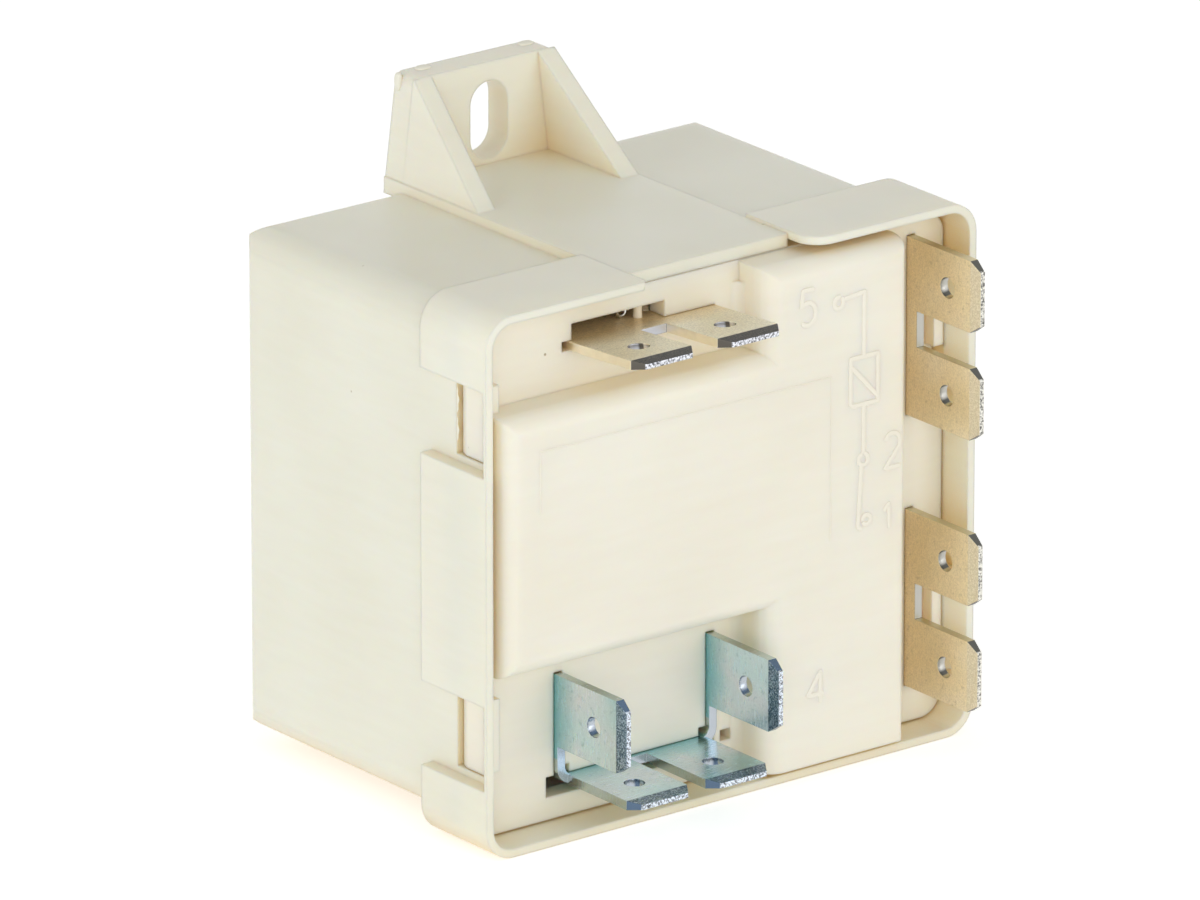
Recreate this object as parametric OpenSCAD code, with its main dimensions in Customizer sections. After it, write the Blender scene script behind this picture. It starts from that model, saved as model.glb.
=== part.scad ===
// Start relay for a single-phase compressor motor: a snap-on moulded cover over a base that
// carries four sets of push-on tabs outside, and a coil, a hinged armature and one normally
// closed contact pair inside. The tabs face -Y, the mounting ear stands up at the back.

/* [Cover] */
// Width of the cover across its collar
cover_w = 51.8; // [49:0.1:60]
// Height of the cover across its collar
cover_h = 47.4; // [46.8:0.1:56]
// Depth of the cover from its rim to its back
cover_depth = 36; // [34:0.5:44]
// Wall thickness of the box and of the platform
wall = 1.15; // [0.9:0.05:1.4]
// How far the collar stands proud of the box
collar_step = 1.17; // [0.9:0.01:1.4]
// Length of the collar from the rim
collar_len = 8.9; // [8:0.1:12]
// Wall thickness of the collar round the base plate
rim_wall = 0.75; // [0.6:0.05:0.9]
// Radius of the long edges and the back edges of the box
edge_r = 3.2; // [2:0.1:4]
// Radius of the corners of the collar
collar_r = 2.8; // [2:0.1:4]

/* [Side latches] */
// Width of each recessed band in the sides of the collar
band_w = 7.4; // [6.4:0.1:9]
// Distance between the two bands of one side, middle to middle
band_pitch = 27.4; // [24:0.1:28]
// Length of the sloping bridge in front of each latch window
bridge_len = 1.9; // [1.5:0.1:2.2]
// Flat front edge of the bridge before it slopes
bridge_flat = 0.3; // [0.1:0.1:0.6]
// Width of each latch window
window_w = 6.6; // [5:0.1:7]
// How far each window sits above the middle of its band
window_lift = 0.2; // [0:0.05:0.3]
// Clearance between a latch nose and its window
latch_gap = 0.1; // [0.05:0.05:0.2]

/* [Ear and platform] */
// Width of the raised platform on the top of the cover
platform_w = 17.3; // [15:0.1:20]
// How far the middle of the platform and the ear sits to the left of the cover's middle
ear_shift = 0.35; // [0:0.05:1]
// Radius of the left end of the notch in front of the platform
notch_r_left = 0.7; // [0.4:0.1:2]
// Radius of the right end of the notch in front of the platform
notch_r_right = 2.2; // [1:0.1:2.5]
// How far the platform lies below the top of the collar
platform_drop = 0.3; // [0.1:0.05:0.5]
// Height of the ear's top above the underside of the cover's collar
ear_h = 56.1; // [54:0.1:62]
// Thickness of the ear plate
ear_t = 2.7; // [2:0.1:3.5]
// Width of the ear at its top
ear_top_w = 14.9; // [12:0.1:15.5]
// Radius of the ear's top corners
ear_corner_r = 0.9; // [0.5:0.1:1.5]
// Thickness of each gusset of the ear
gusset_t = 1.85; // [1.2:0.05:2.4]
// How far the foot of each gusset reaches forward of the ear plate
gusset_reach = 10.1; // [6:0.1:12]
// Width of the screw slot
slot_w = 3.95; // [3.2:0.05:4.6]
// Overall height of the screw slot
slot_len = 6.9; // [5:0.1:7.5]
// Height of the middle of the slot
slot_z = 50.95; // [50.6:0.05:51.5]

/* [Base] */
// Depth from the rim to the ledge that the base plate seats on
seat_depth = 5.3; // [5.2:0.1:6]
// Thickness of the base plate
plate_t = 2; // [1.6:0.1:2.4]
// Clearance round the base plate in the collar
plate_gap = 0.15; // [0.1:0.05:0.3]
// Radius of the corners of the base plate
plate_r = 2.1; // [1:0.1:3]
// How far the boss stands proud of the base plate
boss_proud = 3.9; // [3:0.1:5]
// Wall thickness of the boss
boss_wall = 1.6; // [1.2:0.1:1.8]
// Distance of the boss block in from the side of the cover
block_inset = 1.7; // [1.5:0.1:2.6]
// Height of the lower edge of the boss block
block_z = 15.7; // [15:0.1:17]
// Height of the boss block
block_h = 22.7; // [21:0.1:23.5]
// Radius of the front edges of the boss block, above and below
block_r = 1.7; // [0.6:0.1:2]
// Radius of the front left edge of the boss block
block_side_r = 1.7; // [0.4:0.1:2]
// Distance from the boss column to the tab blades at its right
column_gap = 3.2; // [2.6:0.1:4]
// Width of the boss column
column_w = 14.8; // [13.6:0.1:15]
// Radius of the front left edge of the boss column
column_r = 2; // [1:0.1:2.5]
// Radius of the front right edge of the boss column
column_right_r = 0.5; // [0.2:0.1:1]
// Radius of the front edge of the boss column at its top
column_top_r = 1.7; // [0.5:0.1:2.5]
// Radius of the hollow where the column rises from the base plate
column_root_r = 1; // [0.4:0.1:1.4]
// Diameter of the posts behind the base that the works are screwed to
post_d = 6; // [5:0.1:6.4]
// Height of the posts above the back of the base plate
post_h = 1.3; // [1:0.1:2]
// Diameter of the pilot holes in the posts
pilot_d = 2.7; // [2:0.1:3]
// Wall thickness of the rails that hold the side terminals
rail_t = 1.6; // [1:0.1:1.7]
// Length of the rails behind the base plate
rail_len = 3.2; // [2.4:0.1:3.4]

/* [Tabs] */
// Thickness of the terminal strip
strip_t = 0.81; // [0.8:0.01:0.82]
// Width of each tab
tab_w = 6.35; // [6.2:0.05:6.5]
// How far the tabs reach forward of the rim
tab_reach = 6.25; // [5:0.05:8]
// Diameter of the detent hole in each tab
tab_hole_d = 1.8; // [1.2:0.1:2.2]
// Distance of the detent hole from the tab's tip
tab_hole_x = 4.2; // [3.6:0.1:4.6]
// Length of the corner chamfers at the tip of a tab
tip_len = 1.2; // [0.8:0.1:1.6]
// Width of the corner chamfers at the tip of a tab
tip_w = 0.8; // [0.5:0.1:1.2]
// Thickness left at the coined tip of a tab
tip_t = 0.45; // [0.3:0.05:0.6]
// Clearance between a strip and its slot in the base, on each side
slot_gap = 0.05; // [0.03:0.01:0.1]

/* [Terminals 1 and 2] */
// Distance of their blades in from the right side of the cover
side_tab_inset = 4.8; // [4.4:0.1:5.4]
// Height of the lower edge of terminal 1
t1_z = 4.2; // [3.9:0.1:5]
// Height of the lower edge of terminal 2
t2_z = 28.4; // [27.6:0.1:28.8]
// Pitch of the two tabs of each of these terminals
pair_pitch = 9.5; // [8.4:0.1:9.6]
// Depth behind the rim at which the tabs of a pair join
pair_root = 1.95; // [1:0.05:2.6]

/* [Terminal 5] */
// Height of the upper face of its strip
t5_z = 42.5; // [42:0.1:42.6]
// Distance of its middle to the left of the cover's middle
t5_x = 7.1; // [6:0.1:8]
// Pitch of its two tabs
t5_pitch = 9.05; // [8.4:0.05:9.6]
// Rise of its tabs from root to tip in degrees
t5_rise = 4; // [0:0.5:5]

/* [Terminal 4] */
// Distance of its middle to the left of the cover's middle
t4_x = 7.87; // [7.4:0.01:8.4]
// Overall width of the bracket
t4_w = 16.86; // [16.4:0.02:17.6]
// Height of the bracket's floor, upper face
t4_z = 4.66; // [4.5:0.02:5]
// Height of the lower edge of its upright tabs
t4_tab_z = 7.35; // [7:0.05:7.8]
// Pitch of its two floor tabs
t4_pitch = 8.3; // [7.6:0.1:8.6]
// Outer radius of its bends
bend_r = 1.6; // [1.2:0.1:2]

/* [Coil] */
// Distance of the coil's middle to the left of the cover's middle
coil_x = 9.6; // [9.4:0.1:9.8]
// Depth of the middle of the coil, armature and contacts behind the rim
works_y = 18.3; // [18.1:0.1:19]
// Diameter of the bobbin flanges
flange_d = 23; // [21.6:0.1:23]
// Thickness of the bobbin flanges
flange_t = 1.3; // [1:0.1:1.6]
// Overall height of the bobbin
bobbin_h = 27.3; // [26:0.1:27.6]
// Wall thickness of the bobbin tube
tube_t = 1; // [0.7:0.1:1.4]
// Diameter of the winding
winding_d = 20.4; // [16:0.1:21]
// Thickness of the tape round the winding
wrap_t = 0.3; // [0.1:0.05:0.5]
// Diameter of the core
core_d = 8; // [6.5:0.1:9]
// How far the pole face stands above the bobbin
pole_proud = 1.1; // [1:0.1:1.4]
// Clearance between the core and the bobbin tube
core_gap = 0.05; // [0.03:0.01:0.1]
// Diameter of the coil leads over their sleeves
lead_d = 0.8; // [0.6:0.1:1]

/* [Yoke and armature] */
// Thickness of the yoke
yoke_t = 1.6; // [1.4:0.1:1.8]
// Width of the yoke and of the armature
yoke_w = 14; // [13.4:0.1:14]
// Height of the underside of the yoke
yoke_z = 6; // [5.8:0.1:6.4]
// Length of the yoke's foot
foot_h = 22; // [16:0.5:24]
// Distance of the foot's lower end above the underside of the yoke
foot_lift = 3; // [2:0.5:5]
// Distance of the foot's screws from its ends
screw_end = 4; // [3:0.5:5]
// Diameter of the screw heads
screw_head_d = 5.2; // [4.4:0.1:5.6]
// Length of the screws under their heads
screw_len = 6.2; // [5:0.1:6.4]
// Width of the tongue that keeps the armature in place
tongue_w = 5; // [3:0.5:7]
// Width of the two lugs that the return spring hooks to
lug_w = 2.5; // [2:0.1:2.6]
// Distance of the yoke's spring lug below the pivot
lug_drop = 16; // [13:0.5:18]
// Clearance between the yoke's upright and the bobbin flanges
yoke_gap = 0.6; // [0.3:0.1:0.8]
// Thickness of the armature
armature_t = 1.4; // [1.2:0.1:1.6]
// Clearance under the armature at the yoke's edge and at the pole face
pivot_gap = 0.05; // [0.03:0.01:0.08]
// How far the armature stands open from the pole face in degrees
armature_open = 5; // [4:0.5:5]
// Distance of the armature's tail from the yoke's upright when it is drawn down
tail_offset = 2.2; // [2:0.1:2.6]
// Length of the tail below the pivot
tail_len = 14; // [12:0.5:15]
// Width of the tail
tail_w = 7; // [5:0.5:7.5]

/* [Contacts] */
// Depth of the pusher below the pivot
pusher_drop = 9; // [8.8:0.1:9.4]
// Reach of the pusher's nose beyond the pivot
pusher_reach = 14.5; // [14.2:0.1:15]
// Clearance between the pusher's nose and the contact arm at rest
pusher_gap = 0.15; // [0.1:0.01:0.2]
// Thickness of the contact arm
arm_t = 0.3; // [0.2:0.05:0.4]
// Width of the contact arm
arm_w = 6; // [4.5:0.5:6.5]
// Diameter of the contact buttons
button_d = 4; // [3:0.1:4.4]
// Height of each contact button
button_h = 0.9; // [0.7:0.05:1.1]
// Clearance between the closed contact buttons
button_gap = 0.05; // [0.03:0.01:0.08]
// Height of the contact buttons above the underside of the cover
button_z = 32.5; // [32.2:0.1:33]
// Length of the contact arm's clamp
clamp_h = 10.4; // [9:0.1:11]
// Thickness of the clamp plate
clamp_t = 0.6; // [0.4:0.1:1]
// Distance of the arm's free length above the clamp
arm_free = 0.4; // [0.2:0.1:0.6]
// Diameter of the rivets that hold the contact arm
rivet_d = 2; // [1.6:0.1:2.4]

/* [Return spring] */
// Diameter of the spring's coils, middle to middle of the wire
spring_d = 2.8; // [2.2:0.1:3]
// Diameter of the spring's wire
spring_wire = 0.4; // [0.3:0.05:0.5]
// Number of turns
spring_turns = 11; // [8:1:13]
// Distance of the spring to the right of the pivot
spring_x = 6.2; // [5.8:0.1:6.4]

/* [Hidden] */
$fn = 64;
eps = 0.01;

// Yoke, armature and contacts, with x measured from the middle of the cover
coil_mid = -coil_x;
yoke_x = coil_mid + flange_d / 2 + yoke_gap;
pivot_x = yoke_x + yoke_t;
nose_x = pivot_x + pusher_reach * cos(armature_open) - (pusher_drop - pivot_gap) * sin(armature_open);
arm_x = nose_x + pusher_gap;
side_x = cover_w / 2 - side_tab_inset;
fixed_x = arm_x - 2 * button_h - button_gap;

// Heights and depths of the works
coil_z = yoke_z + yoke_t;
pivot_z = coil_z + bobbin_h + pole_proud;
clamp_z0 = t1_z + 2.8;
clamp_z1 = clamp_z0 + clamp_h;
arm_z0 = clamp_z1 + arm_free;
yoke_y0 = works_y - yoke_w / 2;

// The rim plane is moved forward so that the whole part is centred over the origin
mid_y = (cover_depth - tab_reach) / 2;

// Cover
box_w = cover_w - 2 * collar_step;
box_top = cover_h - collar_step;
platform_top = cover_h - platform_drop;
platform_under = platform_top - wall;
ear_y = cover_depth - ear_t;
band_mid = cover_h / 2;
band_inner = collar_step + rim_wall;
window_end = seat_depth + 0.15;

// Base
plate_y = seat_depth - plate_t;
plate_w = cover_w - 2 * (rim_wall + plate_gap);
plate_z0 = rim_wall + plate_gap + eps;
plate_z1 = platform_under - plate_gap / 3;
boss_y = plate_y - boss_proud;
column_x1 = side_x - column_gap;
column_x0 = column_x1 - column_w;
screw_x = column_x0 + boss_wall + post_d / 2 + 0.6;
block_x0 = block_inset - cover_w / 2;
foot_y = seat_depth + post_h;
rail_y = seat_depth + rail_len;

// Tabs
tab_tip = -tab_reach;
pair_h = pair_pitch + tab_w;
t5_w = t5_pitch + tab_w;
t5_mid = -t5_x;
t4_mid = -t4_x;
t5_rivet_d = 1.2 * rivet_d;
t5_rivet_x = t5_mid + t5_w / 2 - 4.6;
t5_rivet_y = seat_depth + 2;

// Yoke and armature
foot_z0 = yoke_z + foot_lift;
foot_z1 = foot_z0 + foot_h;
screw_low = foot_z0 + screw_end;
screw_high = foot_z1 - screw_end;
spring_lug_z = pivot_z - lug_drop;
core_neck_d = 0.625 * core_d;
pusher_peg = rivet_d;
hole_gap = 0.05;

// Extrudes an outline drawn in X and Z from y0 to y1
module along_y(y0, y1) {
    translate([0, y1, 0]) rotate([90, 0, 0]) linear_extrude(y1 - y0) children();
}

// Extrudes an outline drawn in Y and Z from x0 to x1
module along_x(x0, x1) {
    translate([x0, 0, 0]) rotate([90, 0, 90]) linear_extrude(x1 - x0) children();
}

// Extrudes an outline drawn in X and Y from z0 to z1
module along_z(z0, z1) {
    translate([0, 0, z0]) linear_extrude(z1 - z0) children();
}

// Puts what is drawn from the rim plane into the part's own frame
module place() {
    translate([0, -mid_y, 0]) children();
}

// Block between two corners
module block(low, high) {
    translate(low) cube(high - low);
}

// Outline with four round corners
module round_rect(x0, y0, x1, y1, r) {
    translate([x0 + r, y0]) square([x1 - x0 - 2 * r, y1 - y0]);
    translate([x0, y0 + r]) square([x1 - x0, y1 - y0 - 2 * r]);
    for (x = [x0 + r, x1 - r], y = [y0 + r, y1 - r]) translate([x, y]) circle(r);
}

// Outline whose two corners at the far x are round
module far_round(x0, y0, x1, y1, r) {
    translate([x0, y0]) square([x1 - x0 - r, y1 - y0]);
    translate([x0, y0 + r]) square([x1 - x0, y1 - y0 - 2 * r]);
    for (y = [y0 + r, y1 - r]) translate([x1 - r, y]) circle(r);
}

// Box whose long edges and back edges are round: three rounded outlines crossed
module round_box(w, z0, z1, y0, y1, r) {
    intersection() {
        along_y(y0, y1) round_rect(-w / 2, z0, w / 2, z1, r);
        along_x(-w / 2, w / 2) far_round(y0, z0, y1, z1, r);
        along_z(z0, z1) mirror([1, -1]) far_round(y0, -w / 2, y1, w / 2, r);
    }
}

// Both side faces of the collar, with x measured inwards from the face
module both_sides() {
    for (s = [0, 1]) mirror([s, 0, 0]) translate([-cover_w / 2, 0, 0]) children();
}

// Each latch band's middle height
module each_band() {
    for (z = [band_mid - band_pitch / 2, band_mid + band_pitch / 2]) translate([0, 0, z]) children();
}

// Section of the bridge and the wall that the band pushes inwards
module band_wall() {
    polygon([[0.2, 0], [rim_wall, 0], [band_inner, bridge_len], [band_inner, seat_depth + 0.3],
        [0.2, seat_depth + 0.3]]);
}

// Section of the recess outside the band's wall
module band_cut() {
    polygon([[-1, bridge_flat], [0, bridge_flat], [collar_step, bridge_len],
        [collar_step, collar_len + 1], [-1, collar_len + 1]]);
}

// Front outline of the ear plate, foot first
module ear_outline() {
    foot = platform_w / 2 + 0.05;
    top = ear_top_w / 2;
    z0 = box_top - wall / 2;
    r = ear_corner_r;
    translate([-ear_shift, 0]) {
        polygon([[-foot, z0], [foot, z0], [top, ear_h - r], [top - r, ear_h], [r - top, ear_h],
            [-top, ear_h - r]]);
        for (s = [-1, 1]) translate([s * (top - r), ear_h - r]) circle(r);
    }
}

// One slanting gusset strip seen from the front
module gusset_outline() {
    foot = platform_w / 2 + 0.05;
    top = ear_top_w / 2;
    z0 = box_top - wall / 2;
    translate([-ear_shift, 0]) for (s = [-1, 1])
        polygon([[s * foot, z0], [s * top, ear_h], [s * (top - gusset_t), ear_h],
            [s * (foot - gusset_t), z0]]);
}

// Side outline of the gussets
module gusset_side() {
    z0 = platform_top - 0.4;
    polygon([[ear_y + 0.2, z0], [ear_y - gusset_reach, z0], [ear_y - gusset_reach, platform_top],
        [ear_y, ear_h - 0.1], [ear_y + 0.2, ear_h - 0.1]]);
}

// Plan of the notch in the rim in front of the platform, each end of its mouth flared round
module notch_plan() {
    half = platform_w / 2;
    translate([-ear_shift, 0]) {
        translate([-half, -1]) square([platform_w, plate_y + 1]);
        mirror([1, 0]) notch_flare(half, notch_r_left);
        notch_flare(half, notch_r_right);
    }
}

// What the flare of one end takes away beside the notch
module notch_flare(x, r) {
    difference() {
        translate([x - eps, -1]) square([r + eps, r + 1]);
        translate([x + r, r]) circle(r);
    }
}

// Moulded cover with collar, latch windows, platform and slotted ear
module cover() {
    inner_w = box_w - 2 * wall;
    place() color([0.95, 0.93, 0.87]) difference() {
        union() {
            difference() {
                union() {
                    round_box(box_w, collar_step, box_top, 0, cover_depth, edge_r);
                    along_y(0, collar_len) round_rect(-cover_w / 2, 0, cover_w / 2, cover_h, collar_r);
                    along_y(0, cover_depth) translate([-ear_shift, 0])
                        polygon([[-platform_w / 2, box_top - wall / 2], [platform_w / 2, box_top - wall / 2],
                            [platform_w / 2, platform_top], [-platform_w / 2, platform_top]]);
                }
                round_box(inner_w, collar_step + wall, box_top - wall, seat_depth - 1, cover_depth - wall,
                    edge_r - wall);
                along_y(-1, seat_depth)
                    round_rect(rim_wall - cover_w / 2, rim_wall, cover_w / 2 - rim_wall, cover_h - rim_wall,
                        collar_r - rim_wall);
                block([-ear_shift - platform_w / 2 + wall, seat_depth - 1, box_top - 2 * wall],
                    [-ear_shift + platform_w / 2 - wall, ear_y - wall, platform_under]);
            }
            // The platform runs on over the ledge to the front of the base plate
            block([-ear_shift - platform_w / 2, plate_y, platform_under],
                [-ear_shift + platform_w / 2, seat_depth + 1, platform_top]);
            along_y(ear_y, cover_depth) ear_outline();
            intersection() {
                along_y(ear_y - gusset_reach, ear_y + 0.2) gusset_outline();
                along_x(-cover_w / 2, cover_w / 2) gusset_side();
            }
            both_sides() each_band()
                along_z(-band_w / 2 - rim_wall, band_w / 2 + rim_wall) band_wall();
        }
        along_z(platform_under - 0.5, cover_h + 1) notch_plan();
        // Above the platform the collar is cut away down to it
        block([-ear_shift - platform_w / 2, plate_y - 1, platform_top],
            [-ear_shift + platform_w / 2, collar_len + 1, cover_h + 1]);
        both_sides() each_band() {
            along_z(-band_w / 2, band_w / 2) band_cut();
            translate([0, 0, window_lift]) block([-1, bridge_len, -window_w / 2],
                [collar_step + wall + 0.1, window_end, window_w / 2]);
        }
        // Screw slot through the ear
        translate([-ear_shift + 0.45, 0, 0]) along_y(ear_y - 1, cover_depth + 1) {
            translate([-slot_w / 2, slot_z - slot_len / 2 + slot_w / 2]) square([slot_w, slot_len - slot_w]);
            for (s = [-1, 1]) translate([0, slot_z + s * (slot_len - slot_w) / 2]) circle(d = slot_w);
        }
    }
}

// Outline of one tab, tip at x = 0, pointing to -x, its lower edge on the x axis
module tab_outline(length) {
    difference() {
        polygon([[0, tip_w], [tip_len, 0], [length, 0], [length, tab_w], [tip_len, tab_w],
            [0, tab_w - tip_w]]);
        translate([tab_hole_x, tab_w / 2]) circle(d = tab_hole_d, $fn = 32);
    }
}

// Thickness of a tab seen on edge, tip at x = 0, coined thinner at its tip
module tab_edge(length) {
    c = (strip_t - tip_t) / 2;
    polygon([[0, c], [tip_len, 0], [length, 0], [length, strip_t], [tip_len, strip_t], [0, strip_t - c]]);
}

// Base: plate, boss, latch noses, screw posts, terminal rails and a shelf for terminal 5
module base() {
    place() color([0.96, 0.93, 0.87]) difference() {
        union() {
            difference() {
                union() {
                    along_y(plate_y, seat_depth)
                        round_rect(-plate_w / 2, plate_z0, plate_w / 2, plate_z1, plate_r);
                    boss();
                }
                both_sides() each_band() {
                    h = band_w / 2 + rim_wall + latch_gap;
                    along_z(-h, h) polygon([[-1, 0], [rim_wall + latch_gap, 0],
                        [band_inner + latch_gap, bridge_len],
                        [band_inner + latch_gap, seat_depth + 1], [-1, seat_depth + 1]]);
                }
            }
            both_sides() each_band() {
                h = window_w / 2 - latch_gap;
                nose_y = bridge_len + latch_gap;
                translate([0, 0, window_lift]) along_z(-h, h)
                    polygon([[collar_step + latch_gap, nose_y], [collar_step + latch_gap, seat_depth - 1],
                        [collar_step + 4 * latch_gap, seat_depth - 0.2], [band_inner + 1, seat_depth - 0.2],
                        [band_inner + 1, nose_y]]);
            }
            // Rails behind the plate that hold the side terminals
            for (z = [t1_z, t2_z]) block([side_x - rail_t, seat_depth - eps, z],
                [side_x + strip_t + rail_t - 0.4, rail_y, z + pair_h]);
            // Shelf under the inner end of terminal 5
            block([t5_rivet_x - 3.2, seat_depth - eps, t5_z - strip_t - 1.8],
                [t5_mid + t5_w / 2, seat_depth + 3.8, t5_z - strip_t]);
            for (z = [screw_low, screw_high]) translate([screw_x, boss_y + boss_wall - eps, z])
                rotate([-90, 0, 0])
                cylinder(h = foot_y - boss_y - boss_wall + eps, d = post_d);
        }
        for (z = [screw_low, screw_high]) translate([screw_x, boss_y + boss_wall + 0.6, z])
            rotate([-90, 0, 0])
            cylinder(h = 20, d = pilot_d);
        // Slots of the side terminals
        for (z = [t1_z, t2_z]) block([side_x - slot_gap, boss_y - 1, z - slot_gap],
            [side_x + strip_t + slot_gap, rail_y + 1, z + pair_h + slot_gap]);
        // Slot of terminal 5, with the window above it and the relief at its left end
        block([t5_mid - t5_w / 2 - 0.65, boss_y - 1, t5_z - strip_t],
            [t5_mid + t5_w / 2 + slot_gap, seat_depth + 1, t5_z + slot_gap]);
        block([t5_mid - t5_w / 2 + 0.35, boss_y - 1, t5_z], [t5_mid + 2.4, seat_depth + 1, t5_z + 1.46]);
        // Shelf hole for the rivet of terminal 5
        translate([t5_rivet_x, t5_rivet_y, t5_z - 10]) cylinder(h = 12, d = t5_rivet_d + 2 * hole_gap);
        terminal_4_slots();
    }
}

// Boss of the base: a block and a taller column, hollow from behind
module boss() {
    back = plate_y + eps;
    low = plate_z0 + 0.25;
    high = plate_z1 - 0.1;
    difference() {
        union() {
            intersection() {
                along_x(block_x0, column_x0 + column_r + 1) mirror([1, 0])
                    far_round(-back, block_z, -boss_y, block_z + block_h, block_r);
                along_z(block_z, block_z + block_h)
                    edge_plan(block_x0, column_x0 + column_r + 1, back, block_side_r);
            }
            intersection() {
                along_z(low, high) edge_plan(column_x0, column_x1, back, column_r, column_right_r);
                along_x(column_x0, column_x1) front_round(low, high, back, column_top_r);
            }
            along_z(low, high - column_top_r) translate([column_x0 + eps, plate_y + eps]) difference() {
                translate([-column_root_r, -column_root_r]) square(column_root_r);
                translate([-column_root_r, -column_root_r]) circle(column_root_r);
            }
        }
        block([block_x0 + boss_wall, boss_y + boss_wall, block_z + boss_wall],
            [column_x0 + boss_wall + eps, seat_depth + 1, block_z + block_h - boss_wall]);
        block([column_x0 + boss_wall, boss_y + boss_wall, low + boss_wall],
            [column_x1 - boss_wall, seat_depth + 1, high - boss_wall]);
    }
}

// Plan of a boss whose front edges are round, at the left and, if asked, at the right
module edge_plan(x0, x1, back, r, right_r = 0) {
    difference() {
        translate([x0, boss_y]) square([x1 - x0, back - boss_y]);
        translate([x0 - eps, boss_y - eps]) square(r + eps);
        translate([x1 - right_r, boss_y - eps]) square(right_r + eps);
    }
    translate([x0 + r, boss_y + r]) circle(r);
    if (right_r > 0) translate([x1 - right_r, boss_y + right_r]) circle(right_r);
}

// Side outline of a boss whose front edge is round at the top
module front_round(z0, z1, back, r) {
    translate([boss_y, z0]) square([back - boss_y, z1 - z0 - r]);
    translate([boss_y + r, z0]) square([back - boss_y - r, z1 - z0]);
    translate([boss_y + r, z1 - r]) circle(r);
}

// Openings in the base plate round terminal 4
module terminal_4_slots() {
    x0 = t4_mid - t4_w / 2;
    x1 = t4_mid + t4_w / 2;
    top = t4_tab_z + tab_w + 0.1;
    y0 = plate_y - 1;
    y1 = seat_depth + 1;
    // Recess under and beside the floor, then one slot for each upright
    block([x0 - 0.85, y0, t4_z - strip_t - 0.95], [x1 + slot_gap, y1, t4_z + slot_gap]);
    block([x0 - slot_gap, y0, t4_z - 1], [x0 + strip_t + slot_gap, y1, top]);
    block([x1 - strip_t - slot_gap, y0, t4_z - 1], [x1 + slot_gap, y1, top]);
    block([x0 + strip_t, y0, t4_z - eps], [x0 + bend_r, y1, t4_z + bend_r - strip_t]);
    block([x1 - bend_r, y0, t4_z - eps], [x1 - strip_t, y1, t4_z + bend_r - strip_t]);
    // Small square hole beside the bracket
    block([x1 + 0.7, y0, t4_z - 0.96], [x1 + 1.8, y1, t4_z + 0.04]);
}

// Terminal 5: a flat strip on the base's shelf, two tabs that rise a little, a solder lug behind
module terminal_5() {
    x0 = t5_mid - t5_w / 2;
    back = seat_depth + 4.2;
    rise = (plate_y - tab_tip) * tan(t5_rise);
    place() color([0.82, 0.78, 0.70]) difference() {
        union() {
            intersection() {
                along_z(t5_z - 3, t5_z + 3) {
                    for (i = [0, 1]) translate([x0 + i * t5_pitch, tab_tip]) rotate(90) mirror([0, 1])
                        tab_outline(pair_root - tab_tip + eps);
                    translate([x0, pair_root - 0.25]) square([t5_w, plate_y - pair_root + 0.5]);
                }
                along_x(x0 - 1, x0 + t5_w + 1)
                    polygon([[tab_tip, t5_z + rise - 0.25 - tip_t], [tab_tip + tip_len, t5_z + rise - strip_t
                        - tip_len * tan(t5_rise)], [plate_y, t5_z - strip_t], [plate_y + 0.2, t5_z - strip_t],
                        [plate_y + 0.2, t5_z], [plate_y, t5_z], [tab_tip + tip_len, t5_z + rise - tip_len
                        * tan(t5_rise)], [tab_tip, t5_z + rise - 0.25]]);
            }
            block([x0, plate_y, t5_z - strip_t], [x0 + t5_w, seat_depth + 0.6, t5_z]);
            block([x0 + 1, seat_depth, t5_z - strip_t], [x0 + t5_w - 0.5, back, t5_z]);
            // Lug bent down for the coil lead
            block([lug_5_x - 1.75, back - strip_t, t5_z - 4.4], [lug_5_x + 1.75, back, t5_z - strip_t + eps]);
        }
        translate([t5_rivet_x, t5_rivet_y, t5_z - 5]) cylinder(h = 10, d = t5_rivet_d + 2 * hole_gap);
    }
}

// Rivet that holds terminal 5 down on its shelf
module terminal_5_rivet() {
    under = t5_z - strip_t - 1.8;
    place() color([0.80, 0.79, 0.76]) translate([t5_rivet_x, t5_rivet_y, 0]) {
        translate([0, 0, t5_z]) cylinder(h = 0.7, d1 = 4, d2 = 3.2);
        translate([0, 0, under - 0.6]) cylinder(h = t5_z - under + 0.6 + eps, d = t5_rivet_d);
        translate([0, 0, under - 0.7]) cylinder(h = 0.7, d1 = 2.8, d2 = 3.4);
    }
}

// Side view of a pair of upright tabs joined at their root
module pair_outline(z, back) {
    for (i = [0, 1]) translate([tab_tip, z + i * pair_pitch]) tab_outline(pair_root - tab_tip + eps);
    translate([pair_root, z]) square([back - pair_root, pair_h]);
}

// Plan of a strip that steps sideways by an amount over a 45 degree bend
module step_plan(x, dx, y0, y1, y2) {
    k = strip_t * tan(22.5);
    polygon([[x, y0], [x, y1], [x - dx, y1 + dx], [x - dx, y2], [x - dx + strip_t, y2],
        [x - dx + strip_t, y1 + dx + k], [x + strip_t, y1 + k], [x + strip_t, y0]]);
}

// Blades of a side terminal, coined thin at their tips
module side_blades(z) {
    intersection() {
        along_x(side_x - 1, side_x + strip_t + 1) pair_outline(z, rail_y);
        along_z(z - 1, z + pair_h + 1) translate([side_x, tab_tip]) rotate(90) mirror([0, 1])
            tab_edge(rail_y - tab_tip);
    }
}

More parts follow.
